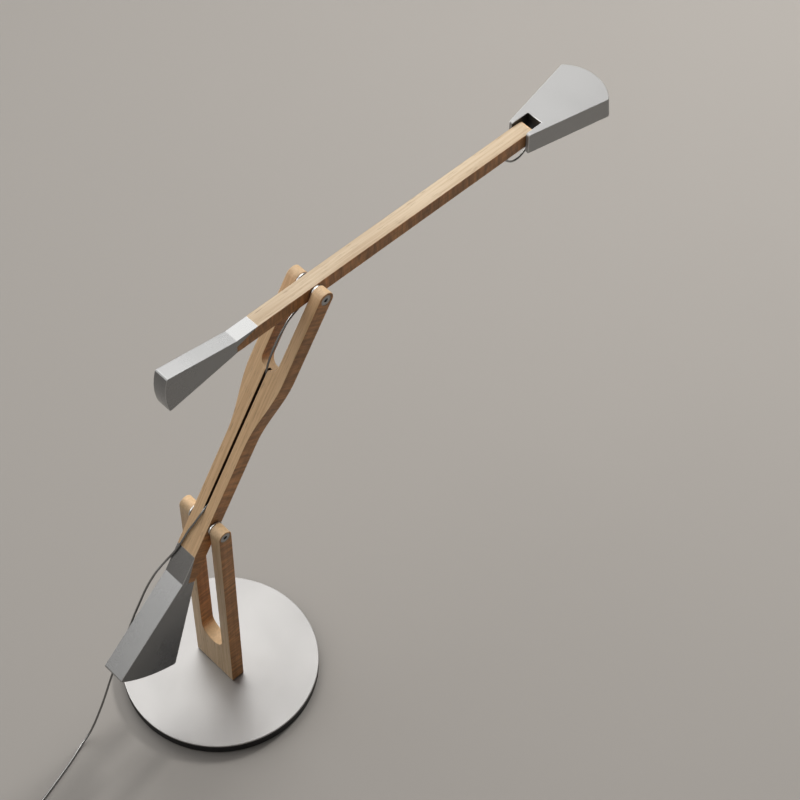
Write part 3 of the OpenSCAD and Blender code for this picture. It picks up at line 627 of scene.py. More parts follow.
class Effects:
    """Shader node groups that more than one finish uses, made once each."""

    FINE_LINES = Noise((9, 430, 430), 4.0, 0.62, 0.3)
    BROAD_BANDS = Noise((4, 95, 95), distortion=0.6)
    PORES = Noise((70, 760, 760))
    FLECKS = Noise((250, 40, 44), 3.0, 0.55, 0.5)
    CLOUD = Noise((30, 30, 30))
    SURFACE_GRAIN = Noise(detail=3.0, roughness=0.6)
    HANDLING = Noise(detail=4.0, roughness=0.55, distortion=0.4)
    PORE_BLACK = (0.05, 0.03, 0.02, 1.0)

    @staticmethod
    def oak() -> bpy.types.NodeTree:
        """Oak with straight grain along x, pores, ray flecks across the side faces, which carry painted
        shade, and end grain.

        Returns:
            The group, with outputs Color, Roughness and Height.
        """
        name = "oak_grain"
        if name in bpy.data.node_groups:
            return bpy.data.node_groups[name]
        number, colour = SocketKind.FLOAT, SocketKind.COLOUR
        g, given, out = new_group(
            name, TreeKind.SHADER,
            {"Vector": SocketKind.VECTOR, "Side": number, "End": number, "Light": colour, "Dark": colour,
             "Side Colour": colour, "End Colour": colour},
            {"Color": colour, "Roughness": number, "Height": number},
        )
        told = given.outputs
        kinds = (Effects.FINE_LINES, Effects.BROAD_BANDS, Effects.PORES, Effects.FLECKS, Effects.CLOUD)
        fine, broad, pores, flecks, cloud = (g.pattern(told["Vector"], kind) for kind in kinds)

        lines = g.remap(fine, (0.38, 0.64))
        bands = g.remap(broad, (0.32, 0.7))
        tone = g.math("ADD", g.math("MULTIPLY", lines, 0.66), g.math("MULTIPLY", bands, 0.34), True)
        pore = g.remap(pores, (0.6, 0.72))
        in_pore = g.mix(0.5, told["Dark"], Effects.PORE_BLACK)
        face = g.mix(g.math("MULTIPLY", pore, 0.5), g.mix(tone, told["Light"], told["Dark"]), in_pore)

        fleck = g.remap(flecks, (0.34, 0.68), (0.68, 1.3))
        fleck = g.math("MULTIPLY", fleck, g.remap(cloud, (0.3, 0.7), (0.9, 1.1)))
        fleck = g.math("MULTIPLY", fleck, g.remap(tone, (0.0, 1.0), (1.1, 0.88)))
        # The side faces take a darker colour: painted shade, with ray flecks in it.
        side = g.mix(1.0, told["Side Colour"], g.grey(fleck), "MULTIPLY")
        dots = g.remap(fine, (0.3, 0.7), (1.12, 0.86))
        end = g.mix(1.0, told["End Colour"], g.grey(dots), "MULTIPLY")

        rough = g.remap(tone, (0.0, 1.0), (0.42, 0.54))
        g.fill(out, {
            "Color": g.mix(told["End"], g.mix(told["Side"], face, side), end),
            "Roughness": g.math("ADD", rough, g.math("MULTIPLY", pore, 0.08)),
            "Height": g.math("SUBTRACT", g.math("MULTIPLY", lines, -0.35), g.math("MULTIPLY", pore, 0.8)),
        })
        return g.tree

    @staticmethod
    def surface() -> bpy.types.NodeTree:
        """Fine grain and soft handling marks for metals, plastics and rubber.

        Returns:
            The group, with outputs Grain and Marks, from 0 to 1, and Height.
        """
        name = "fine_surface"
        if name in bpy.data.node_groups:
            return bpy.data.node_groups[name]
        number = SocketKind.FLOAT
        g, given, out = new_group(
            name, TreeKind.SHADER,
            {"Vector": SocketKind.VECTOR, "Grain Scale": number, "Mark Scale": number},
            {"Grain": number, "Marks": number, "Height": number},
        )
        told = given.outputs
        grain = g.noise(told["Vector"], told["Grain Scale"], Effects.SURFACE_GRAIN)
        marks = g.noise(told["Vector"], told["Mark Scale"], Effects.HANDLING)
        g.fill(out, {"Grain": grain, "Marks": g.remap(marks, (0.3, 0.7)),
                     "Height": g.math("ADD", grain, g.math("MULTIPLY", marks, 0.2))})
        return g.tree


# Finishes


def tint(colour: Colour, share: float = 1.0) -> tuple[float, float, float, float]:
    """Make a colour lighter or darker by a share, with an alpha of 1."""
    return (*(min(1.0, c * share) for c in colour), 1.0)


@dataclass(frozen=True)
class Finish(ABC):
    """A material, made the first time it is asked for."""

    name: str

    def material(self) -> bpy.types.Material:
        """Make the material, or find it.

        Returns:
            The material.
        """
        title = f"{self.name}_finish"
        if title in bpy.data.materials:
            return bpy.data.materials[title]
        material = bpy.data.materials.new(title)
        material.use_nodes = True
        shader = next(n for n in material.node_tree.nodes if n.type == "BSDF_PRINCIPLED")
        self.dress(Graph(material.node_tree), shader)
        return material

    def put_on(self, obj: bpy.types.Object) -> None:
        """Make this the object's only material."""
        obj.data.materials.clear()
        obj.data.materials.append(self.material())

    @abstractmethod
    def dress(self, g: Graph, shader: bpy.types.Node) -> None:
        """Add the nodes.

        Args:
            g: The material's graph.
            shader: Its Principled shader.
        """


@dataclass(frozen=True)
class Oak(Finish):
    """Oiled oak, its grain turned along the piece."""

    grain_deg: float
    light: Colour = (0.70, 0.515, 0.32)
    dark: Colour = (0.53, 0.36, 0.195)
    # The side colour is darker than the top's: painted shade.
    side: Colour = (0.51, 0.24, 0.09)
    end: Colour = (0.64, 0.44, 0.25)
    shade_share: float = 0.12
    grain_depth: float = 0.25
    bump_distance: float = 0.0004
    specular: float = 0.45

    def dress(self, g: Graph, shader: bpy.types.Node) -> None:
        """Add the nodes: object coordinates turned along the grain, and the face marks of the mesh.

        Args:
            g: The material's graph.
            shader: Its Principled shader.
        """
        turned = g.add("ShaderNodeMapping", {"Vector": g.coordinates()}, vector_type="POINT")
        g.fill(turned, {"Rotation": (0.0, math.radians(self.grain_deg), 0.0)})
        oak = g.add("ShaderNodeGroup", {
            "Vector": turned.outputs[0], "Side": g.mark(Mark.SIDE), "End": g.mark(Mark.END),
            "Light": tint(self.light), "Dark": tint(self.dark), "Side Colour": tint(self.side),
            "End Colour": tint(self.end)}, node_tree=Effects.oak()).outputs
        # Faces marked as in shade take a painted shadow, made from the side colour.
        shadow = tint(self.side, self.shade_share)
        g.fill(shader, {
            "Base Color": g.mix(g.mark(Mark.RECESS), oak["Color"], shadow),
            "Roughness": oak["Roughness"],
            "Normal": g.bump(oak["Height"], self.grain_depth, self.bump_distance),
            "Specular IOR Level": self.specular,
        })


@dataclass(frozen=True)
class Surface(Finish):
    """A metal, plastic, rubber or paint with fine grain and faint marks, lighter along its edges: wear with a
    painted highlight.
    """

    colour: Colour
    roughness: float
    metallic: float = 0.0
    grain_scale: float = 2600.0
    grain_depth: float = 0.08
    mark_scale: float = 26.0
    colour_change: float = 0.06
    rough_change: float = 0.08
    subsurface: float = 0.0
    specular: float = 0.5
    wear_and_highlight: float = 0.0
    wear_and_highlight_share: float = 2.4
    shade_share: float = 0.22
    bump_distance: float = 0.0003
    glow: Colour = (0.0, 0.0, 0.0)

    def dress(self, g: Graph, shader: bpy.types.Node) -> None:
        """Add the nodes.

        Args:
            g: The material's graph.
            shader: Its Principled shader.
        """
        fine = g.add("ShaderNodeGroup", {
            "Vector": g.coordinates(), "Grain Scale": self.grain_scale, "Mark Scale": self.mark_scale,
        }, node_tree=Effects.surface()).outputs
        tone = g.math("ADD", g.math("MULTIPLY", fine["Marks"], 0.5), g.math("MULTIPLY", fine["Grain"], 0.5))
        darker, lighter = (tint(self.colour, 1 + way * self.colour_change) for way in (-1, 1))
        # Marked edge faces turn lighter in patches: wear and a painted highlight.
        patchy = g.math("MULTIPLY", g.remap(fine["Marks"], (0.0, 1.0), (0.7, 1.0)), self.wear_and_highlight)
        worn_and_lit = g.math("MULTIPLY", g.mark(Mark.EDGE), patchy)
        colour = g.mix(worn_and_lit, g.mix(tone, darker, lighter), tint(self.colour, self.wear_and_highlight_share))
        # Faces marked as in shade take a painted shadow.
        shadow = tint(self.colour, self.shade_share)
        rough = (self.roughness - self.rough_change, self.roughness + self.rough_change)
        g.fill(shader, {
            "Base Color": g.mix(g.mark(Mark.RECESS), colour, shadow),
            "Roughness": g.remap(tone, (0.0, 1.0), rough),
            "Normal": g.bump(fine["Height"], self.grain_depth, self.bump_distance),
            "Metallic": self.metallic,
            "Subsurface Weight": self.subsurface,
            "Specular IOR Level": self.specular,
            "Emission Color": tint(self.glow),
            "Emission Strength": float(any(self.glow)),
        })


@dataclass(frozen=True)
class Metal(Surface):
    """Bare metal."""

    metallic: float = 1.0
    grain_scale: float = 3000.0
    grain_depth: float = 0.06
    mark_scale: float = 60.0


@dataclass(frozen=True)
class Backdrop(Surface):
    """Matt paint that stays pale far away, where no light reaches it, for the rays that show it."""

    glow: Colour = (0.33, 0.312, 0.292)
    glow_from: float = 1.5
    glow_full: float = 5.0

    def dress(self, g: Graph, shader: bpy.types.Node) -> None:
        """Add the nodes.

        Args:
            g: The material's graph.
            shader: Its Principled shader.
        """
        super().dress(g, shader)
        path = g.add("ShaderNodeLightPath").outputs
        seen = g.math("MAXIMUM", path["Is Camera Ray"], path["Is Glossy Ray"])
        seen = g.math("MAXIMUM", seen, path["Is Transmission Ray"])
        far = g.remap(g.length(g.coordinates()), (self.glow_from, self.glow_full))
        dark = (0.0, 0.0, 0.0, 1.0)
        g.fill(shader, {"Emission Color": g.mix(g.math("MULTIPLY", seen, far), dark, tint(self.glow))})


@dataclass(frozen=True)
class Sheath(Finish):
    """Extruded cable sheath: faint lines along the cable, read from its UV map."""

    colour: Colour = (0.25, 0.248, 0.245)
    colour_change: float = 0.1
    rough: Pair = (0.15, 0.27)
    metallic: float = 1.0
    lines: Noise = Noise((26, 9, 1))
    blotches: Noise = Noise((3, 60, 1), 3.0)
    line_depth: float = 0.06
    bump_distance: float = 0.0002

    def dress(self, g: Graph, shader: bpy.types.Node) -> None:
        """Add the nodes.

        Args:
            g: The material's graph.
            shader: Its Principled shader.
        """
        uv = g.coordinates("UV")
        lines = g.pattern(uv, self.lines)
        dark, light = (tint(self.colour, 1 + way * self.colour_change) for way in (-1, 1))
        g.fill(shader, {
            "Base Color": g.mix(g.pattern(uv, self.blotches), dark, light),
            "Roughness": g.remap(lines, (0.2, 0.8), self.rough),
            "Normal": g.bump(lines, self.line_depth, self.bump_distance),
            "Metallic": self.metallic,
        })


class Finishes:
    """The lamp's finishes by what they are."""

    OAK_FORK = Oak("oak_fork", 90.0)
    # The lower arm's oak is lighter than the fork's, painted light for the shade on its top, and its end
    # grain is darker to keep its tips from that light. The upper arm's oak is darker for the light on its top
    # and paler as a painted sheen.
    OAK_LOWER_PAINTED_LIGHT = Oak("oak_lower", LOWER_FRAME.tilt_deg, light=(0.90, 0.62, 0.36), dark=(0.66, 0.41, 0.21),
                    end=(0.53, 0.37, 0.22))
    OAK_UPPER_PAINTED_SHEEN = Oak("oak_upper", UPPER_FRAME.tilt_deg, light=(0.56, 0.45, 0.318), dark=(0.405, 0.293, 0.187))
    PLATE = Metal("satin_plate", (0.38, 0.375, 0.372), 0.45, grain_scale=3200, grain_depth=0.05,
                  mark_scale=14.0, wear_and_highlight=0.7)
    WEIGHT = Metal("weight_steel", (0.295, 0.298, 0.30), 0.28, grain_scale=3200, grain_depth=0.05,
                   mark_scale=18.0, wear_and_highlight=0.6)
    HEAD = Metal("head_aluminium", (0.415, 0.416, 0.417), 0.52, grain_scale=3400, grain_depth=0.05,
                 mark_scale=18.0, wear_and_highlight=0.4)
    PIVOT = Metal("pivot_steel", (0.38, 0.378, 0.374), 0.38)
    WASHER = Metal("bright_washer", (0.62, 0.615, 0.6), 0.24, grain_depth=0.05)
    STEEL = Metal("steel", (0.45, 0.445, 0.44), 0.3)
    BRASS = Metal("brass", (0.66, 0.47, 0.2), 0.3)
    SPREADER = Metal("spreader", (0.55, 0.55, 0.55), 0.36, grain_scale=2600, grain_depth=0.08,
                     mark_scale=30.0)
    CAST = Surface("cast_black", (0.012, 0.012, 0.013), 0.5, grain_scale=2200, grain_depth=0.2,
                   mark_scale=20.0, colour_change=0.15, specular=0.25)
    RUBBER = Surface("rubber_black", (0.02, 0.02, 0.02), 0.62, grain_depth=0.25, mark_scale=30.0,
                     colour_change=0.2)
    NYLON = Surface("black_nylon", (0.022, 0.022, 0.023), 0.42, grain_depth=0.15, mark_scale=40.0,
                    colour_change=0.15)
    PLUG = Surface("plug_black", (0.024, 0.024, 0.025), 0.44, grain_scale=1900, grain_depth=0.3,
                   mark_scale=30.0, colour_change=0.12)
    BOARD = Surface("board_white", (0.82, 0.82, 0.8), 0.4, grain_scale=1800, mark_scale=40.0,
                    colour_change=0.04)
    PHOSPHOR = Surface("phosphor", (0.85, 0.66, 0.16), 0.5, grain_scale=2400, grain_depth=0.1,
                       mark_scale=60.0)
    OPAL = Surface("opal", (0.86, 0.85, 0.81), 0.4, grain_scale=900, grain_depth=0.12, mark_scale=20.0,
                   colour_change=0.03, rough_change=0.06, subsurface=0.15, glow=(0.45, 0.40, 0.31))
    CABLE = Sheath("cable_grey")


# Repeated details made with Geometry Nodes


class Repeats:
    """Geometry Nodes trees for the details that repeat."""

    @staticmethod
    def start(name: str, *lengths: str) -> tuple[Graph, bpy.types.Node, bpy.types.Node]:
        """Start a tree that takes a Geometry, a Count, named lengths and a Material.

        Args:
            name: The tree's name.
            lengths: The names of the lengths.

        Returns:
            The graph to add to, the input node and the output node.
        """
        inputs = {"Geometry": SocketKind.GEOMETRY, "Count": SocketKind.INT}
        inputs |= dict.fromkeys(lengths, SocketKind.FLOAT)
        inputs["Material"] = SocketKind.MATERIAL
        return new_group(name, TreeKind.GEOMETRY, inputs, {"Geometry": SocketKind.GEOMETRY})

    @staticmethod
    def close(
        g: Graph, given: bpy.types.Node, out: bpy.types.Node, *made: bpy.types.NodeSocket
    ) -> bpy.types.NodeTree:
        """End a tree: join what it made to what came in, realize the instances and set the material.

        Args:
            g: The graph.
            given: Its input node.
            out: Its output node.
            made: The geometry that the tree made.

        Returns:
            The tree.
        """
        joined = g.add("GeometryNodeJoinGeometry")
        for geometry in (*made, given.outputs["Geometry"]):
            g.fill(joined, {0: geometry})
        real = g.add("GeometryNodeRealizeInstances", {0: joined.outputs[0]})
        dressed = g.add("GeometryNodeSetMaterial", {"Geometry": real.outputs[0],
                                                    "Material": given.outputs["Material"]})
        g.fill(out, {"Geometry": dressed.outputs[0]})
        return g.tree

    @staticmethod
    def row(
        g: Graph, count: object, start: object, pitch: object, instance: bpy.types.Node,
        scale: object = (1, 1, 1),
    ) -> bpy.types.NodeSocket:
        """Put an instance at each point of a straight row, from a start on by a pitch."""
        line = g.add("GeometryNodeMeshLine", {"Count": count, "Start Location": start, "Offset": pitch})
        return g.add("GeometryNodeInstanceOnPoints", {
            "Points": line.outputs[0], "Instance": instance.outputs[0], "Scale": scale}).outputs[0]

    @staticmethod
    def dots(dot_sides: int = 10, tip_share: float = 0.6) -> bpy.types.NodeTree:
        """Grip dots on a square grid inside a circle, standing down from z = 0.

        Args:
            dot_sides: Number of sides of a dot.
            tip_share: Radius of a dot's tip, as a share of its root's.

        Returns:
            The tree.
        """
        g, given, out = Repeats.start("grip_dots", "Radius", "Dot Radius", "Dot Height")
        told = given.outputs
        width = g.math("MULTIPLY", told["Radius"], 2.0)
        grid = g.add("GeometryNodeMeshGrid", {"Size X": width, "Size Y": width, "Vertices X": told["Count"],
                                              "Vertices Y": told["Count"]})
        far = g.length(g.add("GeometryNodeInputPosition").outputs[0])
        outside = g.add("FunctionNodeCompare", {0: far, 1: told["Radius"]}, operation="GREATER_THAN")
        kept = g.add("GeometryNodeDeleteGeometry", {"Geometry": grid.outputs["Mesh"],
                                                    "Selection": outside.outputs[0]}, domain="POINT")
        dot = g.add("GeometryNodeMeshCone", {
            "Vertices": dot_sides, "Depth": told["Dot Height"], "Radius Top": told["Dot Radius"],
            "Radius Bottom": g.math("MULTIPLY", told["Dot Radius"], tip_share)})
        drop = g.vector(Z=g.math("MULTIPLY", told["Dot Height"], -1.0))
        hung = g.add("GeometryNodeTransform", {"Geometry": dot.outputs["Mesh"], "Translation": drop})
        dots = g.add("GeometryNodeInstanceOnPoints", {"Points": kept.outputs[0], "Instance": hung.outputs[0]})
        return Repeats.close(g, given, out, dots.outputs[0])

    @staticmethod
    def ribs(ring_sides: int = 40, rib_sides: int = 8) -> bpy.types.NodeTree:
        """Rings along z that grow from the first radius to the last.

        Args:
            ring_sides: Number of sides round a ring.
            rib_sides: Number of sides of its section.

        Returns:
            The tree.
        """
        g, given, out = Repeats.start(
            "growing_ribs", "Start", "Pitch", "First Radius", "Last Radius", "Rib Radius")
        told = given.outputs
        circle, section = (
            g.add("GeometryNodeCurvePrimitiveCircle", {"Resolution": sides, "Radius": told[radius]})
            for sides, radius in ((ring_sides, "First Radius"), (rib_sides, "Rib Radius")))
        ring = g.add("GeometryNodeCurveToMesh", {"Curve": circle.outputs[0],
                                                 "Profile Curve": section.outputs[0]})
        index = g.add("GeometryNodeInputIndex").outputs[0]
        last = g.math("SUBTRACT", told["Count"], 1.0)
        growth = g.math("DIVIDE", told["Last Radius"], told["First Radius"])
        size = g.remap(index, (0.0, last), (1.0, growth))
        rows = Repeats.row(g, told["Count"], g.vector(Z=told["Start"]), g.vector(Z=told["Pitch"]), ring,
                           g.vector(X=size, Y=size, Z=1.0))
        return Repeats.close(g, given, out, rows)

    @staticmethod
    def bars(bar_sides: int = 12) -> bpy.types.NodeTree:
        """Round bars across x on both broad faces, in a row along z.

        Args:
            bar_sides: Number of sides of a bar.

        Returns:
            The tree.
        """
        g, given, out = Repeats.start("grip_bars", "Start", "Pitch", "Height", "Length", "Bar Radius")
        told = given.outputs
        bar = g.add("GeometryNodeMeshCylinder", {"Vertices": bar_sides, "Radius": told["Bar Radius"],
                                                 "Depth": told["Length"]})
        laid = g.add("GeometryNodeTransform", {"Geometry": bar.outputs["Mesh"],
                                               "Rotation": (0.0, math.pi / 2, 0.0)})
        heights = (g.math("MULTIPLY", told["Height"], way) for way in (-1.0, 1.0))
        pitch = g.vector(Z=told["Pitch"])
        rows = [Repeats.row(g, told["Count"], g.vector(Y=height, Z=told["Start"]), pitch, laid)
                for height in heights]
        return Repeats.close(g, given, out, *rows)

    @staticmethod
    def apply(obj: bpy.types.Object, tree: bpy.types.NodeTree, values: dict[str, object]) -> bpy.types.Object:
        """Run a tree on an object and keep the result as its mesh.

        Args:
            obj: The object.
            tree: The tree.
            values: The named inputs.

        Returns:
            The same object.
        """
        modifier = obj.modifiers.new(tree.name, "NODES")
        modifier.node_group = tree
        for item in tree.interface.items_tree:
            if item.in_out == "INPUT" and item.name in values:
                modifier[item.identifier] = values[item.name]
        return settle(obj)


# Sub-assemblies


@dataclass
class SubAssembly(ABC):
    """A group of pieces that is built and dressed together, round the CAD nodes by name."""

    nodes: Nodes

    @abstractmethod
    def build(self) -> None:
        """Make the pieces and dress them."""

    def stand_in(
        self, obj: bpy.types.Object, body: Body, finish: Finish, slot: Slot, *names: str
    ) -> bpy.types.Object:
        """Let a made piece stand for CAD nodes.

        Args:
            obj: The piece.
            body: The body it rides on.
            finish: Its finish.
            slot: The record's material slot; not used.
            names: The CAD nodes it stands for.

        Returns:
            The piece.
        """
        finish.put_on(obj)
        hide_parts(*names)
        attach(obj, body.value)
        faces = len(obj.data.polygons)
        LOG.info("%s: %d faces, %s, stands for %s", obj.name, faces, finish.name, ", ".join(names))
        return obj

    def worked(
        self, name: str, body: Body, finish: Finish, slot: Slot, width: float,
        share: EdgeShare | None = None, segments: int = 2, fold_deg: float = NO_FOLD_DEG,
    ) -> bpy.types.Object:
        """Swap a CAD node for its copy with rounded edges.

        Args:
            name: The CAD node.
            body: The body it rides on.
            finish: Its finish.
            slot: The record's material slot.
            width: Width of the rounding, in mm.
            share: Share of the width for an edge, by its place.
            segments: Number of segments in the rounding.
            fold_deg: Folds along y between two broad faces stay sharp when they turn more than this.

        Returns:
            The copy.
        """
        obj = worked_edges(self.nodes[name], width, segments, share, fold_deg)
        if isinstance(finish, Oak):
            # The side faces are marked for painted shade, the end faces for end grain.
            mark_faces(obj, Mark.SIDE, side_shade_share)
            mark_faces(obj, Mark.END, across_grain(finish.grain_deg))
        return self.stand_in(obj, body, finish, slot, name)

    def plain(self, finish: Finish, *names: str) -> None:
        """Dress CAD nodes that show as they are.

        Args:
            finish: The finish.
            names: The CAD nodes.
        """
        for name in names:
            finish.put_on(self.nodes[name])
            LOG.info("%s: CAD shape, %s", name, finish.name)

    def pivot(self, joint: str, body: Body, screw_edge: float = 0.25, washer_edge: float = 0.2) -> None:
        """Dress a pivot: its sleeve, its screw and the washers beside the arm.

        Args:
            joint: What the names of its nodes start with.
            body: The body it rides on.
            screw_edge: Width of the rounding on the sleeve and the screw, in mm.
            washer_edge: Width of the rounding on the bright washers, in mm.
        """
        for part in ("sleeve", "screw"):
            self.worked(f"{joint}_pivot_{part}", body, Finishes.PIVOT, Slot.PIVOT, screw_edge)
        self.worked(f"{joint}_washers", body, Finishes.WASHER, Slot.WASHER, washer_edge)
        self.plain(Finishes.NYLON, f"{joint}_slip_washers")


@dataclass
class WeightedBase(SubAssembly):
    """The round base: pad, black weight, satin plate, and the fork's fixings."""

    radius: float = 100.0
    weight_radius: float = 99.7
    recess_radius: float = 88.3
    pad_radius: float = 88.0
    pad_edge: float = 0.5
    pad_top: float = 3.0
    pad_proud: float = 1.5
    plate_z: float = 11.5
    top_z: float = 14.0
    edge: float = 0.6
    seam: float = 0.01
    rim_highlight_normals: Pair = (0.15, 0.97)
    dot_height: float = 0.7
    dot_radius: float = 1.6
    dots_across: int = 33
    dot_margin: float = 4.0

    def build(self) -> None:
        """Make the pieces and dress them."""
        self.pad()
        self.weight()
        self.plate()
        self.plain(Finishes.RUBBER, "fork_gasket")
        self.plain(Finishes.STEEL, "fork_bolts")
        self.plain(Finishes.BRASS, "fork_inserts")

    def pad(self) -> None:
        """Make the rubber pad on its grip dots."""
        r, e, low = self.pad_radius, self.pad_edge, self.dot_height
        thick = self.pad_top - low
        outline = [(0.0, 0.0), *arc(r - e, e, e, -90, 0), (r, thick), (0.0, thick)]
        obj = lathe("base_pad_look", outline, 128)
        Repeats.apply(obj, Repeats.dots(), {
            "Radius": (r - self.dot_margin) * MM, "Count": self.dots_across,
            "Dot Radius": self.dot_radius * MM, "Dot Height": low * MM,
            "Material": Finishes.RUBBER.material()})
        obj.data.transform(Matrix.Translation((0, 0, low * MM)))
        self.stand_in(obj, Body.BASE, Finishes.RUBBER, Slot.RUBBER, "base_pad")

    def weight(self) -> None:
        """Make the black weight, with its recess for the pad."""
        r, e, low, high = self.weight_radius, self.edge, self.pad_proud, self.plate_z - self.seam
        recess = [(0.0, self.pad_top), (self.recess_radius, self.pad_top), (self.recess_radius, low)]
        outline = [*recess, *arc(r - e, low + e, e, -90, 0), (r, high), (0.0, high)]
        self.stand_in(lathe("base_weight_look", outline), Body.BASE, Finishes.CAST, Slot.CAST, "base_weight")

    def plate(self) -> None:
        """Make the satin plate with its rounded rim, which is lighter where it looks up and out: wear and a
        painted highlight.
        """
        r, e, (level, upward) = self.radius, self.edge, self.rim_highlight_normals
        outline = [(0.0, self.plate_z), *arc(r - e, self.plate_z + e, e, -90, 0),
                   *arc(r - e, self.top_z - e, e, 0, 90), (0.0, self.top_z)]
        obj = lathe("base_plate_look", outline)
        # The rim's faces that look up and out are marked for a painted highlight, with wear.
        mark_faces(obj, Mark.EDGE, lambda polygon: float(level < polygon.normal.z < upward))
        self.stand_in(obj, Body.BASE, Finishes.PLATE, Slot.PLATE, "base_plate")


@dataclass
class Fork(SubAssembly):
    """The wooden fork on the base, with the lower pivot in it."""

    edge: float = 0.8

    def build(self) -> None:
        """Make the pieces and dress them."""
        self.worked("base_fork", Body.BASE, Finishes.OAK_FORK, Slot.OAK, self.edge)
        self.pivot("lower", Body.BASE)


@dataclass
class Arm(SubAssembly):
    """A wooden arm with a counterweight and a cut for the cable, whose edges are finer."""

    edge: float = 0.7
    weight_edge: float = 0.5
    weight_fold_deg: float = 6.0
    cut_half: float = 2.0
    cut_share: float = 0.35

    def weight(self, name: str, body: Body) -> None:
        """Dress the counterweight, whose faces meet in crisp folds."""
        self.worked(name, body, Finishes.WEIGHT, Slot.WEIGHT, self.weight_edge, fold_deg=self.weight_fold_deg)


@dataclass
class LowerArm(Arm):
    """The lower arm with its counterweight, its cable slot and the elbow pivot."""

    slot_x: Pair = (10.0, GAP_FLOOR)
    slot_z: Pair = (1.8, 8.1)
    slot_mouth: float = GAP_FLOOR + 1.0

    def in_slot(self, polygon: bpy.types.MeshPolygon) -> float:
        """Mark the faces in the cable slot for painted shade.

        Args:
            polygon: A face of the arm.

        Returns:
            1 in the slot, 0 elsewhere.
        """
        spot = LOWER_FRAME.local(polygon.center)
        along = self.slot_x[0] < spot.x < self.slot_x[1]
        return float(abs(spot.y) < self.cut_half and along and self.slot_z[0] < spot.z < self.slot_z[1])

    def slot_share(self, place: Vector) -> float:
        """Share of the rounding's width for an edge, which is finer at the cable slot."""
        spot = LOWER_FRAME.local(place)
        return self.cut_share if abs(spot.y) < self.cut_half and spot.x < self.slot_mouth else 1.0

    def build(self) -> None:
        """Make the pieces and dress them."""
        arm = self.worked("lower_arm", Body.LOWER, Finishes.OAK_LOWER_PAINTED_LIGHT, Slot.OAK, self.edge, self.slot_share)
        mark_faces(arm, Mark.RECESS, self.in_slot)
        self.weight("lower_counterweight", Body.LOWER)
        self.pivot("elbow", Body.LOWER)
        self.plain(Finishes.BRASS, "lower_bush")
        self.plain(Finishes.STEEL, "lower_dowels")


@dataclass
class UpperArm(Arm):
    """The upper arm with its counterweight and its cable groove."""

    def groove_share(self, place: Vector) -> float:
        """Share of the rounding's width for an edge, which is finer at the cable groove."""
        spot = UPPER_FRAME.local(place)
        return self.cut_share if abs(spot.y) < self.cut_half and spot.z < 0 else 1.0

    def build(self) -> None:
        """Make the pieces and dress them."""
        self.worked("upper_arm", Body.UPPER, Finishes.OAK_UPPER_PAINTED_SHEEN, Slot.OAK, self.edge, self.groove_share)
        self.weight("upper_counterweight", Body.UPPER)
        self.plain(Finishes.BRASS, "elbow_bush", "head_bush")
        self.plain(Finishes.STEEL, "upper_dowels")


@dataclass
class LampHead(SubAssembly):
    """The flat head: housing, panels underneath, switch, LED board and pivot pin."""

    half_height: float = 12.0
    web_end: float = 18.0
    web_margin: float = 0.5
    on_face: float = 0.05
    slot_half: float = 9.6
    slot_rim: float = 0.7
    slot_margin: float = 1.5
    upright: float = 0.5
    edge: float = 0.6
    diffuser_edge: float = 0.3
    plate_edge: float = 0.2
    button_edge: float = 0.5
    fine_segments: int = 3

    def in_slot(self, polygon: bpy.types.MeshPolygon) -> float:
        """Mark the upright faces in the slot that takes the arm for painted shade.

        Args:
            polygon: A face of the housing.

        Returns:
            1 in the slot, 0 elsewhere.
        """
        spot = HEAD_FRAME.local(polygon.center)
        across = abs(spot.y) < self.slot_half and abs(spot.z) < self.half_height - self.slot_rim
        along = spot.x < self.web_end - self.slot_margin
        return float(across and along and abs(polygon.normal.z) < self.upright)

    def outer_share(self, place: Vector) -> float:
        """Round the housing's outer edges, and not those inside its cavity.

        Args:
            place: Middle of an edge, in metres.

        Returns:
            The share of the rounding's width.
        """
        spot = HEAD_FRAME.local(place)
        on_faces = abs(abs(spot.z) - self.half_height) < self.on_face
        return 1.0 if on_faces or spot.x < self.web_end - self.web_margin else 0.0

    def build(self) -> None:
        """Make the pieces and dress them."""
        fine = self.fine_segments
        housing = self.worked("head_housing", Body.HEAD, Finishes.HEAD, Slot.HEAD, self.edge,
                              self.outer_share, fine)
        mark_faces(housing, Mark.RECESS, self.in_slot)
        self.worked("diffuser", Body.HEAD, Finishes.OPAL, Slot.OPAL, self.diffuser_edge)
        self.worked("switch_plate", Body.HEAD, Finishes.HEAD, Slot.HEAD, self.plate_edge)
        self.worked("push_button", Body.BUTTON, Finishes.NYLON, Slot.NYLON, self.button_edge, segments=fine)
        self.plain(Finishes.NYLON, "switch_body", "head_washers")
        self.plain(Finishes.STEEL, "head_pin", "board_screws")
        self.plain(Finishes.RUBBER, "head_grommet")
        self.plain(Finishes.SPREADER, "heat_spreader")
        self.plain(Finishes.BOARD, "led_board")
        self.plain(Finishes.PHOSPHOR, "leds")


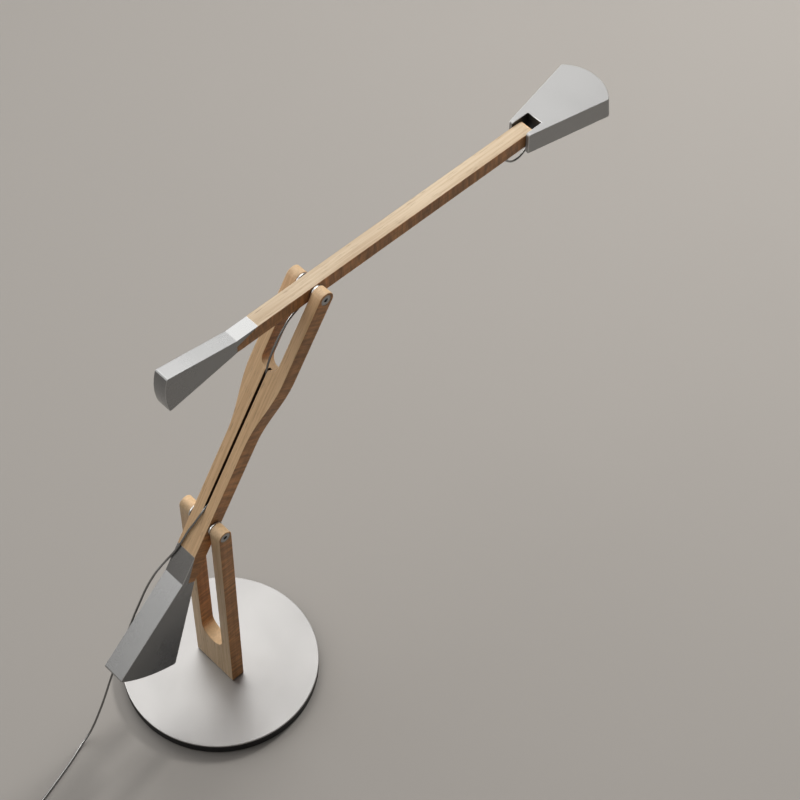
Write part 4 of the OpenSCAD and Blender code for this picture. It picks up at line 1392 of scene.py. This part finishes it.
@dataclass(frozen=True)
class Coil:
    """The coil of spare lead beside the base: layers that spiral in and out by turns."""

    start: Pair = (-268.0, 0.5)
    start_deg: float = 90.0
    turns: float = 17.25
    layers: int = 4
    middle_radius: float = 12.1
    turn_step: float = 2.8
    layer_step: float = 2.7
    low_z: float = 2.0
    climb_turns: float = 0.5
    points_per_turn: int = 40

    @property
    def layer_turns(self) -> float:
        """Turns in a layer."""
        return self.turns / self.layers

    @property
    def inner(self) -> float:
        """Radius of the inmost turn."""
        return self.middle_radius - self.layer_turns * self.turn_step / 2

    @property
    def outer(self) -> float:
        """Radius of the outmost turn."""
        return self.middle_radius + self.layer_turns * self.turn_step / 2

    @property
    def middle(self) -> Pair:
        """Place of the coil's middle on the floor."""
        return self.start[0], self.start[1] - self.outer

    @property
    def top_z(self) -> float:
        """Height of the cable's middle line in the top layer."""
        return self.low_z + (self.layers - 1) * self.layer_step

    def point(self, turn: float) -> Vector:
        """Place on the coil.

        Args:
            turn: Turns from the coil's start.

        Returns:
            The place in metres.
        """
        layer = min(int(turn / self.layer_turns), self.layers - 1)
        along = (turn - layer * self.layer_turns) * self.turn_step
        radius = self.outer - along if layer % 2 == 0 else self.inner + along
        half_climb = self.climb_turns / 2
        past = (turn - k * self.layer_turns for k in range(1, self.layers))
        climbed = sum(ramp(turns, -half_climb, half_climb) for turns in past)
        angle = math.radians(self.start_deg + 360 * turn)
        x, y = self.middle
        return Vector((x + radius * math.cos(angle), y + radius * math.sin(angle),
                       self.low_z + self.layer_step * climbed)) * MM

    def path(self) -> list[Vector]:
        """Middle line of the coil, in metres."""
        count = round(self.turns * self.points_per_turn)
        return [self.point(i / self.points_per_turn) for i in range(count + 1)]


COIL = Coil()


@dataclass
class Plug(SubAssembly):
    """What is on the lead's far end: the tie round the coil, the boot, the plug and its pins.

    The profile gives distances from the boot with the body's width and height there, as shares.
    """

    run_in: float = 36.0
    boot_length: float = 22.0
    boot_tip: float = 1.8
    boot_root: float = 3.9
    boot_edge: float = 0.4
    boot_sides: int = 40
    rib_count: int = 7
    rib_from: float = 2.2
    rib_pitch: float = 2.8
    rib_radius: float = 0.75
    rib_sunk: Pair = (0.1, 0.35)
    half_width: float = 16.3
    half_height: float = 8.8
    roundness: float = 0.62
    section_points: int = 64
    profile: Route = (
        (0.0, 0.36, 0.52), (0.6, 0.42, 0.6), (3.0, 0.56, 0.7), (8.0, 0.74, 0.8), (15.0, 0.86, 0.86),
        (24.0, 0.9, 0.88), (33.0, 0.95, 0.93), (40.0, 1.0, 1.0), (46.6, 1.0, 1.0), (47.4, 0.985, 0.975),
        (48.0, 0.95, 0.93))
    bar_count: int = 6
    bar_from: float = 13.0
    bar_pitch: float = 3.2
    bar_length: float = 17.0
    bar_radius: float = 0.75
    bar_sunk: float = 0.2
    waist_share: float = 0.87
    pin_edge: float = 0.9
    tie_gap: float = 0.3
    tie_thick: float = 0.6
    tie_width: float = 6.0
    tie_corner: float = 1.4
    tie_soft: float = 0.2
    tie_sunk: float = 0.15
    tie_steps: int = 6
    pieces: list[bpy.types.Object] = field(default_factory=list)

    @property
    def end(self) -> Vector:
        """Where the lead enters the boot, in mm: beside the coil and level with its top layer."""
        x, y = COIL.middle
        return Vector((x - COIL.outer, y - CORD_D, COIL.top_z))

    def build(self) -> None:
        """Make the pieces and dress them."""
        self.pieces = [self.tie(), self.boot(), self.body(), self.pins()]

    def place(self) -> Matrix:
        """Matrix that puts a piece built along +z at the lead's end, pointing along -y."""
        return Matrix.Translation(self.end * MM) @ Matrix.Rotation(math.radians(90), 4, "X")

    def boot(self) -> bpy.types.Object:
        """Make the tapered boot with its strain-relief ribs.

        Returns:
            The boot.
        """
        tip, root, e, length = self.boot_tip, self.boot_root, self.boot_edge, self.boot_length
        outline = [(0.0, 0.0), *arc(tip - e, e, e, -90, 0), (root, length), (0.0, length)]
        obj = lathe("plug_boot_look", outline, self.boot_sides)
        Repeats.apply(obj, Repeats.ribs(), {
            "Count": self.rib_count, "Start": self.rib_from * MM, "Pitch": self.rib_pitch * MM,
            "First Radius": (tip - self.rib_sunk[0]) * MM, "Last Radius": (root - self.rib_sunk[1]) * MM,
            "Rib Radius": self.rib_radius * MM, "Material": Finishes.RUBBER.material()})
        obj.data.transform(self.place())
        return self.stand_in(obj, Body.BASE, Finishes.RUBBER, Slot.RUBBER, "plug_boot")

    def section(self, z: float, half_width: float, half_height: float) -> list[Vector]:
        """Outline of the plug's body at a height: a rounded block.

        Args:
            z: Distance from the boot, in mm.
            half_width: Half its width, in mm.
            half_height: Half its height, in mm.

        Returns:
            The outline's points, in metres.
        """
        points = []
        for k in range(self.section_points):
            t = 2 * math.pi * k / self.section_points
            c, s = (math.copysign(abs(way) ** self.roundness, way) for way in (math.cos(t), math.sin(t)))
            points.append(Vector((c * half_width, s * half_height, z)) * MM)
        return points

    def body(self) -> bpy.types.Object:
        """Make the plug's body, waisted behind its face, with grip bars.

        Returns:
            The body.
        """
        w, h = self.half_width, self.half_height
        obj = loft("plug_body_look", [self.section(z, w * a, h * b) for z, a, b in self.profile])
        Repeats.apply(obj, Repeats.bars(), {
            "Count": self.bar_count, "Start": self.bar_from * MM, "Pitch": self.bar_pitch * MM,
            "Height": (h * self.waist_share - self.bar_sunk) * MM, "Length": self.bar_length * MM,
            "Bar Radius": self.bar_radius * MM, "Material": Finishes.PLUG.material()})
        obj.data.transform(self.place() @ Matrix.Translation((0, 0, self.boot_length * MM)))
        return self.stand_in(obj, Body.BASE, Finishes.PLUG, Slot.PLUG, "plug_body")

    def pins(self) -> bpy.types.Object:
        """Round the pins' ends."""
        return self.worked("plug_pins", Body.BASE, Finishes.BRASS, Slot.BRASS, self.pin_edge, segments=3)

    def tie(self) -> bpy.types.Object:
        """Make the strap round the coil, with round corners and soft edges.

        Returns:
            The strap.
        """
        t, r, half, soft = self.tie_thick, self.tie_corner, self.tie_width / 2, self.tie_soft
        reach = CORD_D / 2 + self.tie_gap
        near, far, top = COIL.inner - reach + r, COIL.outer + reach - r, COIL.top_z + reach - r
        corners = [((far, t + r), -90), ((far, top), 0), ((near, top), 90), ((near, t + r), 180)]
        inside, middle, flat = t * self.tie_sunk, t / 2, half - soft
        section = [(-flat, inside), (-half, middle), (-flat, t), (flat, t), (half, middle), (flat, inside)]
        bm = bmesh.new()
        rings = []
        for (cx, cz), start in corners:
            foot = Vector((*COIL.middle, 0.0)) + Vector((cx, 0, cz))
            for i in range(self.tie_steps + 1):
                a = math.radians(start + 90 * i / self.tie_steps)
                out = Vector((math.cos(a), 0, math.sin(a)))
                points = [foot + out * (r + o) + Vector((0, y, 0)) for y, o in section]
                rings.append([bm.verts.new(point * MM) for point in points])
        skin(bm, [*rings, rings[0]])
        obj = even_shading(mesh_object("coil_tie_look", bm), sharp_deg=60.0)
        return self.stand_in(obj, Body.BASE, Finishes.NYLON, Slot.PLUG, "coil_tie")


@dataclass
class Cables(SubAssembly):
    """The lead with its coil, the run through the arms, and the loop into the head.

    A bend's numbers say at which points of its routes it starts and ends.
    """

    plug: Plug
    step: float = 2.2
    lead_on_arm: Route = (
        (24.5, 0, 3.5), (21, 0, 5.1), (16, 0, 7.5), (10, 0, 10), (3, 1, 10.6), (-6, 3, 10.3),
        (-13.5, 5, 10.2), (-24, 6.5, 10.2), (-34, 8, 10.2), (-46, 10.5, 10.3), (-57, 13.8, 10.6))
    lead_hanging: Route = (
        (-45, 16, 222), (-53, 17.5, 214), (-63, 19, 200), (-71, 20, 185), (-83, 22, 159), (-98.5, 24, 122),
        (-114.5, 26, 84), (-127.5, 27.5, 50), (-138, 28.5, 27), (-145.5, 29, 13.5), (-152.5, 28.8, 6))
    lead_on_table: Route = (
        (-160.5, 27.6, 2.4), (-170, 24.8, 1.2), (-180, 21, 1.1), (-199, 15, 1.1), (-214, 10.5, 1.1),
        (-229, 6.2, 1.1), (-242, 2.8, 1.2), (-254, 0.9, 1.6), (-260, 0.5, 2))
    lead_bend: tuple[int, int] = (-2, -1)
    elbow_on_lower: Route = (
        (-17, 0, 3.2), (-11, 0, 4), (-4, 0, 6.6), (4, 0, 9.4), (14, 0, 11.2), (25, 0, 12), (36, 0, 11.7),
        (46, 0, 10.4))
    elbow_on_upper: Route = (
        (-26, 0, -26.2), (-17, 0, -20.8), (-7, 0, -16), (3, 0, -12.2), (12, 0, -8.9), (20, 0, -6.7),
        (27.7, 0, -5.8))
    elbow_bend: tuple[int, int] = (3, 4)
    head_loop: Route = (
        (-45, 0, -5.8), (-39, 0, -6.5), (-33, 0, -9.2), (-27, 0, -14.4), (-21.5, 0, -21), (-15, 0, -27),
        (-8, 0, -29.4), (-1, 0, -27.8), (5, 0, -22.4), (8.8, 0, -15.4), (10.6, 0, -10.6), (12.6, 0, -7.7),
        (15, 0, -6.8), (18, 0, -6.8))
    head_bend: tuple[int, int] = (3, 11)
    slot_run: Triple = (24.8, 159.7, 3.2)
    groove_run: Triple = (28.0, 224.7, -5.8)
    run_pitch: float = 6.0
    run_in_steps: int = 4

    def build(self) -> None:
        self.lead()
        self.arm_run()
        self.head_run()

    def cable(
        self, name: str, path: list[Vector], ends: tuple[Body, Body], bend: tuple[Vector, Vector], *nodes: str
    ) -> bpy.types.Object:
        """Sweep a cable and dress it.

        Args:
            name: The piece's name.
            path: Its middle line, in metres.
            ends: The bodies that its ends follow; not used.
            bend: Where the bend starts and ends; not used.
            nodes: The CAD nodes it stands for.

        Returns:
            The cable.
        """
        obj = tube(name, path, CORD_D * MM / 2)
        Finishes.CABLE.put_on(obj)
        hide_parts(*nodes)
        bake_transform(obj)
        faces = len(obj.data.polygons)
        LOG.info("%s: %.3f m, %d faces, stands for %s", name, path_length(path), faces, ", ".join(nodes))
        return obj

    def straight(self, frame: ArmFrame, run: Triple) -> list[Vector]:
        """Points of a straight run along an arm.

        Args:
            frame: The arm's frame.
            run: Where the run starts and ends along the arm, and its height, in mm.

        Returns:
            The points in metres, both ends among them.
        """
        start, end, z = run
        count = int((end - start) / self.run_pitch)
        return [frame.at(start + (end - start) * i / count, 0, z) for i in range(count + 1)]

    def lead(self) -> None:
        """Make the lead from the slot to the plug, coiled beside the base."""
        on_arm = [LOWER_FRAME.at(*p) for p in self.lead_on_arm]
        hanging = [Vector(p) * MM for p in self.lead_hanging]
        on_table = [Vector(p) * MM for p in self.lead_on_table]
        x, y = COIL.start
        coil_start = Vector((x + CORD_D, y, COIL.low_z)) * MM
        path = smooth_route([*on_arm, *hanging, *on_table, coil_start], self.step * MM) + COIL.path()
        run_step = Vector((0, -self.plug.run_in / self.run_in_steps, 0))
        path += [(self.plug.end + run_step * i) * MM for i in range(self.run_in_steps + 1)]
        first, last = self.lead_bend
        obj = self.cable("lead_look", path, (Body.BASE, Body.LOWER), (hanging[first], on_arm[last]),
                         "lead", "lead_coil")

    def arm_run(self) -> None:
        """Make the run in the lower arm's slot, across the elbow and in the upper arm's groove."""
        on_lower = [LOWER_FRAME.at(GAP_FLOOR + x, y, z) for x, y, z in self.elbow_on_lower]
        on_upper = [UPPER_FRAME.at(*p) for p in self.elbow_on_upper]
        in_slot = self.straight(LOWER_FRAME, self.slot_run)
        in_groove = self.straight(UPPER_FRAME, self.groove_run)
        path = smooth_route([*in_slot[:-1], *on_lower, *on_upper, *in_groove[1:]], self.step * MM)
        first, last = self.elbow_bend
        obj = self.cable("arm_cable_look", path, (Body.LOWER, Body.UPPER), (on_lower[first], on_upper[last]),
                         "arm_cable", "elbow_cable", "upper_cable")

    def head_run(self) -> None:
        """Make the loop from the upper arm's groove into the head."""
        route = [HEAD_FRAME.at(*p) for p in self.head_loop]
        path = smooth_route(route, self.step * MM)
        first, last = self.head_bend
        obj = self.cable("head_cable_look", path, (Body.UPPER, Body.HEAD), (route[first], route[last]),
                         "head_cable")


# Stage


@dataclass(frozen=True)
class PhotoCamera:
    """The camera of the photograph."""

    place: Triple = (-0.7796, -1.0890, 2.2622)
    down_deg: float = 53.625
    heading_deg: float = 46.551
    lens: float = 114.48
    sensor: float = 36.0
    sight: float = 60.0

    def build(self) -> None:
        """Make the camera and use it."""
        data = bpy.data.cameras.new("photo_camera")
        data.sensor_width = self.sensor
        data.sensor_fit = "HORIZONTAL"
        data.lens = self.lens
        data.clip_end = self.sight
        camera = bpy.data.objects.new("photo_camera", data)
        camera.location = self.place
        camera.rotation_euler = (math.radians(90 - self.down_deg), 0.0, math.radians(self.heading_deg - 90))
        bpy.context.scene.collection.objects.link(camera)
        bpy.context.scene.camera = camera


@dataclass(frozen=True)
class SoftLight:
    """A rectangular light that faces the lamp: the way to it, its distance and size in metres, its watts."""

    name: str
    way: Triple
    distance: float
    size: Pair
    power: float
    in_gloss: bool = True
    on_matt: bool = True
    colour: Colour = (1.0, 0.985, 0.96)
    target: Triple = (0.1, 0.0, 0.25)

    def build(self) -> None:
        """Make the light."""
        data = bpy.data.lights.new(self.name, "AREA")
        data.shape = "RECTANGLE"
        data.size, data.size_y = self.size
        data.energy = self.power
        data.color = self.colour
        light = bpy.data.objects.new(self.name, data)
        towards = Vector(self.way).normalized()
        light.location = Vector(self.target) + towards * self.distance
        light.rotation_euler = towards.to_track_quat("Z", "Y").to_euler()
        light.visible_glossy = self.in_gloss
        light.visible_diffuse = self.on_matt
        bpy.context.scene.collection.objects.link(light)


@dataclass(frozen=True)
class Sky:
    """A soft sky that brightens towards an axis behind the lamp and fades near the horizon."""

    colour: Colour = (1.0, 0.985, 0.965)
    axis: Triple = (-0.1, 0.75, 0.65)
    strength: Pair = (0.08, 1.0)
    facing: Pair = (-0.2, 0.85)
    curve: float = 2.2
    haze_top: float = 0.35
    haze_share: float = 0.25

    def build(self) -> None:
        """Make the sky and use it."""
        world = bpy.data.worlds.new("soft_sky")
        world.use_nodes = True
        bpy.context.scene.world = world
        g = Graph(world.node_tree)
        background = next(n for n in world.node_tree.nodes if n.type == "BACKGROUND")
        where = g.coordinates()
        axis = Vector(self.axis).normalized()
        facing = g.add("ShaderNodeVectorMath", {0: where, 1: axis}, operation="DOT_PRODUCT").outputs["Value"]
        rise = g.math("POWER", g.remap(facing, self.facing), self.curve)
        height = g.add("ShaderNodeSeparateXYZ", {0: where}).outputs["Z"]
        clear = g.remap(height, (0.0, self.haze_top), (self.haze_share, 1.0))
        strength = g.math("MULTIPLY", g.remap(rise, (0.0, 1.0), self.strength), clear)
        g.fill(background, {"Strength": strength, "Color": tint(self.colour)})


@dataclass(frozen=True)
class Studio:
    """Plain pale floor, a large soft light behind the lamp, a key light, two cards to reflect and a sky."""

    floor_radius: float = 9000.0
    floor_bend: float = 2000.0
    bend_steps: int = 16
    wall_top: float = 2600.0
    paint: Backdrop = Backdrop("floor_paint", (0.31, 0.292, 0.273), 0.7, grain_scale=400.0, grain_depth=0.04,
                               mark_scale=3.0, colour_change=0.02, rough_change=0.05)
    lights: tuple[SoftLight, ...] = (
        SoftLight("softbox", (0.28, 0.43, 0.86), 2.4, (1.8, 1.8), 20.0),
        SoftLight("key", (0.80, 0.06, 0.66), 2.6, (0.45, 0.45), 48.0, in_gloss=False),
        SoftLight("strip", (-0.30, 0.88, 0.36), 2.6, (0.9, 1.0), 28.0, on_matt=False),
        SoftLight("card", (-0.79, 0.43, 0.46), 2.6, (1.3, 0.9), 4.6, on_matt=False),
    )

    def build(self) -> None:
        """Make the floor, the lights and the sky."""
        self.floor()
        for light in self.lights:
            light.build()
        Sky().build()
        bpy.context.scene.view_settings.view_transform = "Standard"

    def floor(self) -> None:
        """Make the floor, which curves up into a wall far from the lamp."""
        r, bend = self.floor_radius, self.floor_bend
        sweep = arc(r - bend, bend, bend, -90, 0, self.bend_steps)
        obj = lathe("floor", [(0.0, 0.0), *sweep, (r, self.wall_top)])
        self.paint.put_on(obj)


def main() -> None:
    """Build the looks."""
    logging.basicConfig(level=logging.INFO, format="%(name)s: %(message)s")
    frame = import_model()
    nodes: Nodes = frame["nodes"]
    PhotoCamera().build()
    Studio().build()
    plug = Plug(nodes)
    plug.build()
    Cables(nodes, plug).build()
    for kind in (WeightedBase, Fork, LowerArm, UpperArm, LampHead):
        kind(nodes).build()


if __name__ == "__main__":
    main()
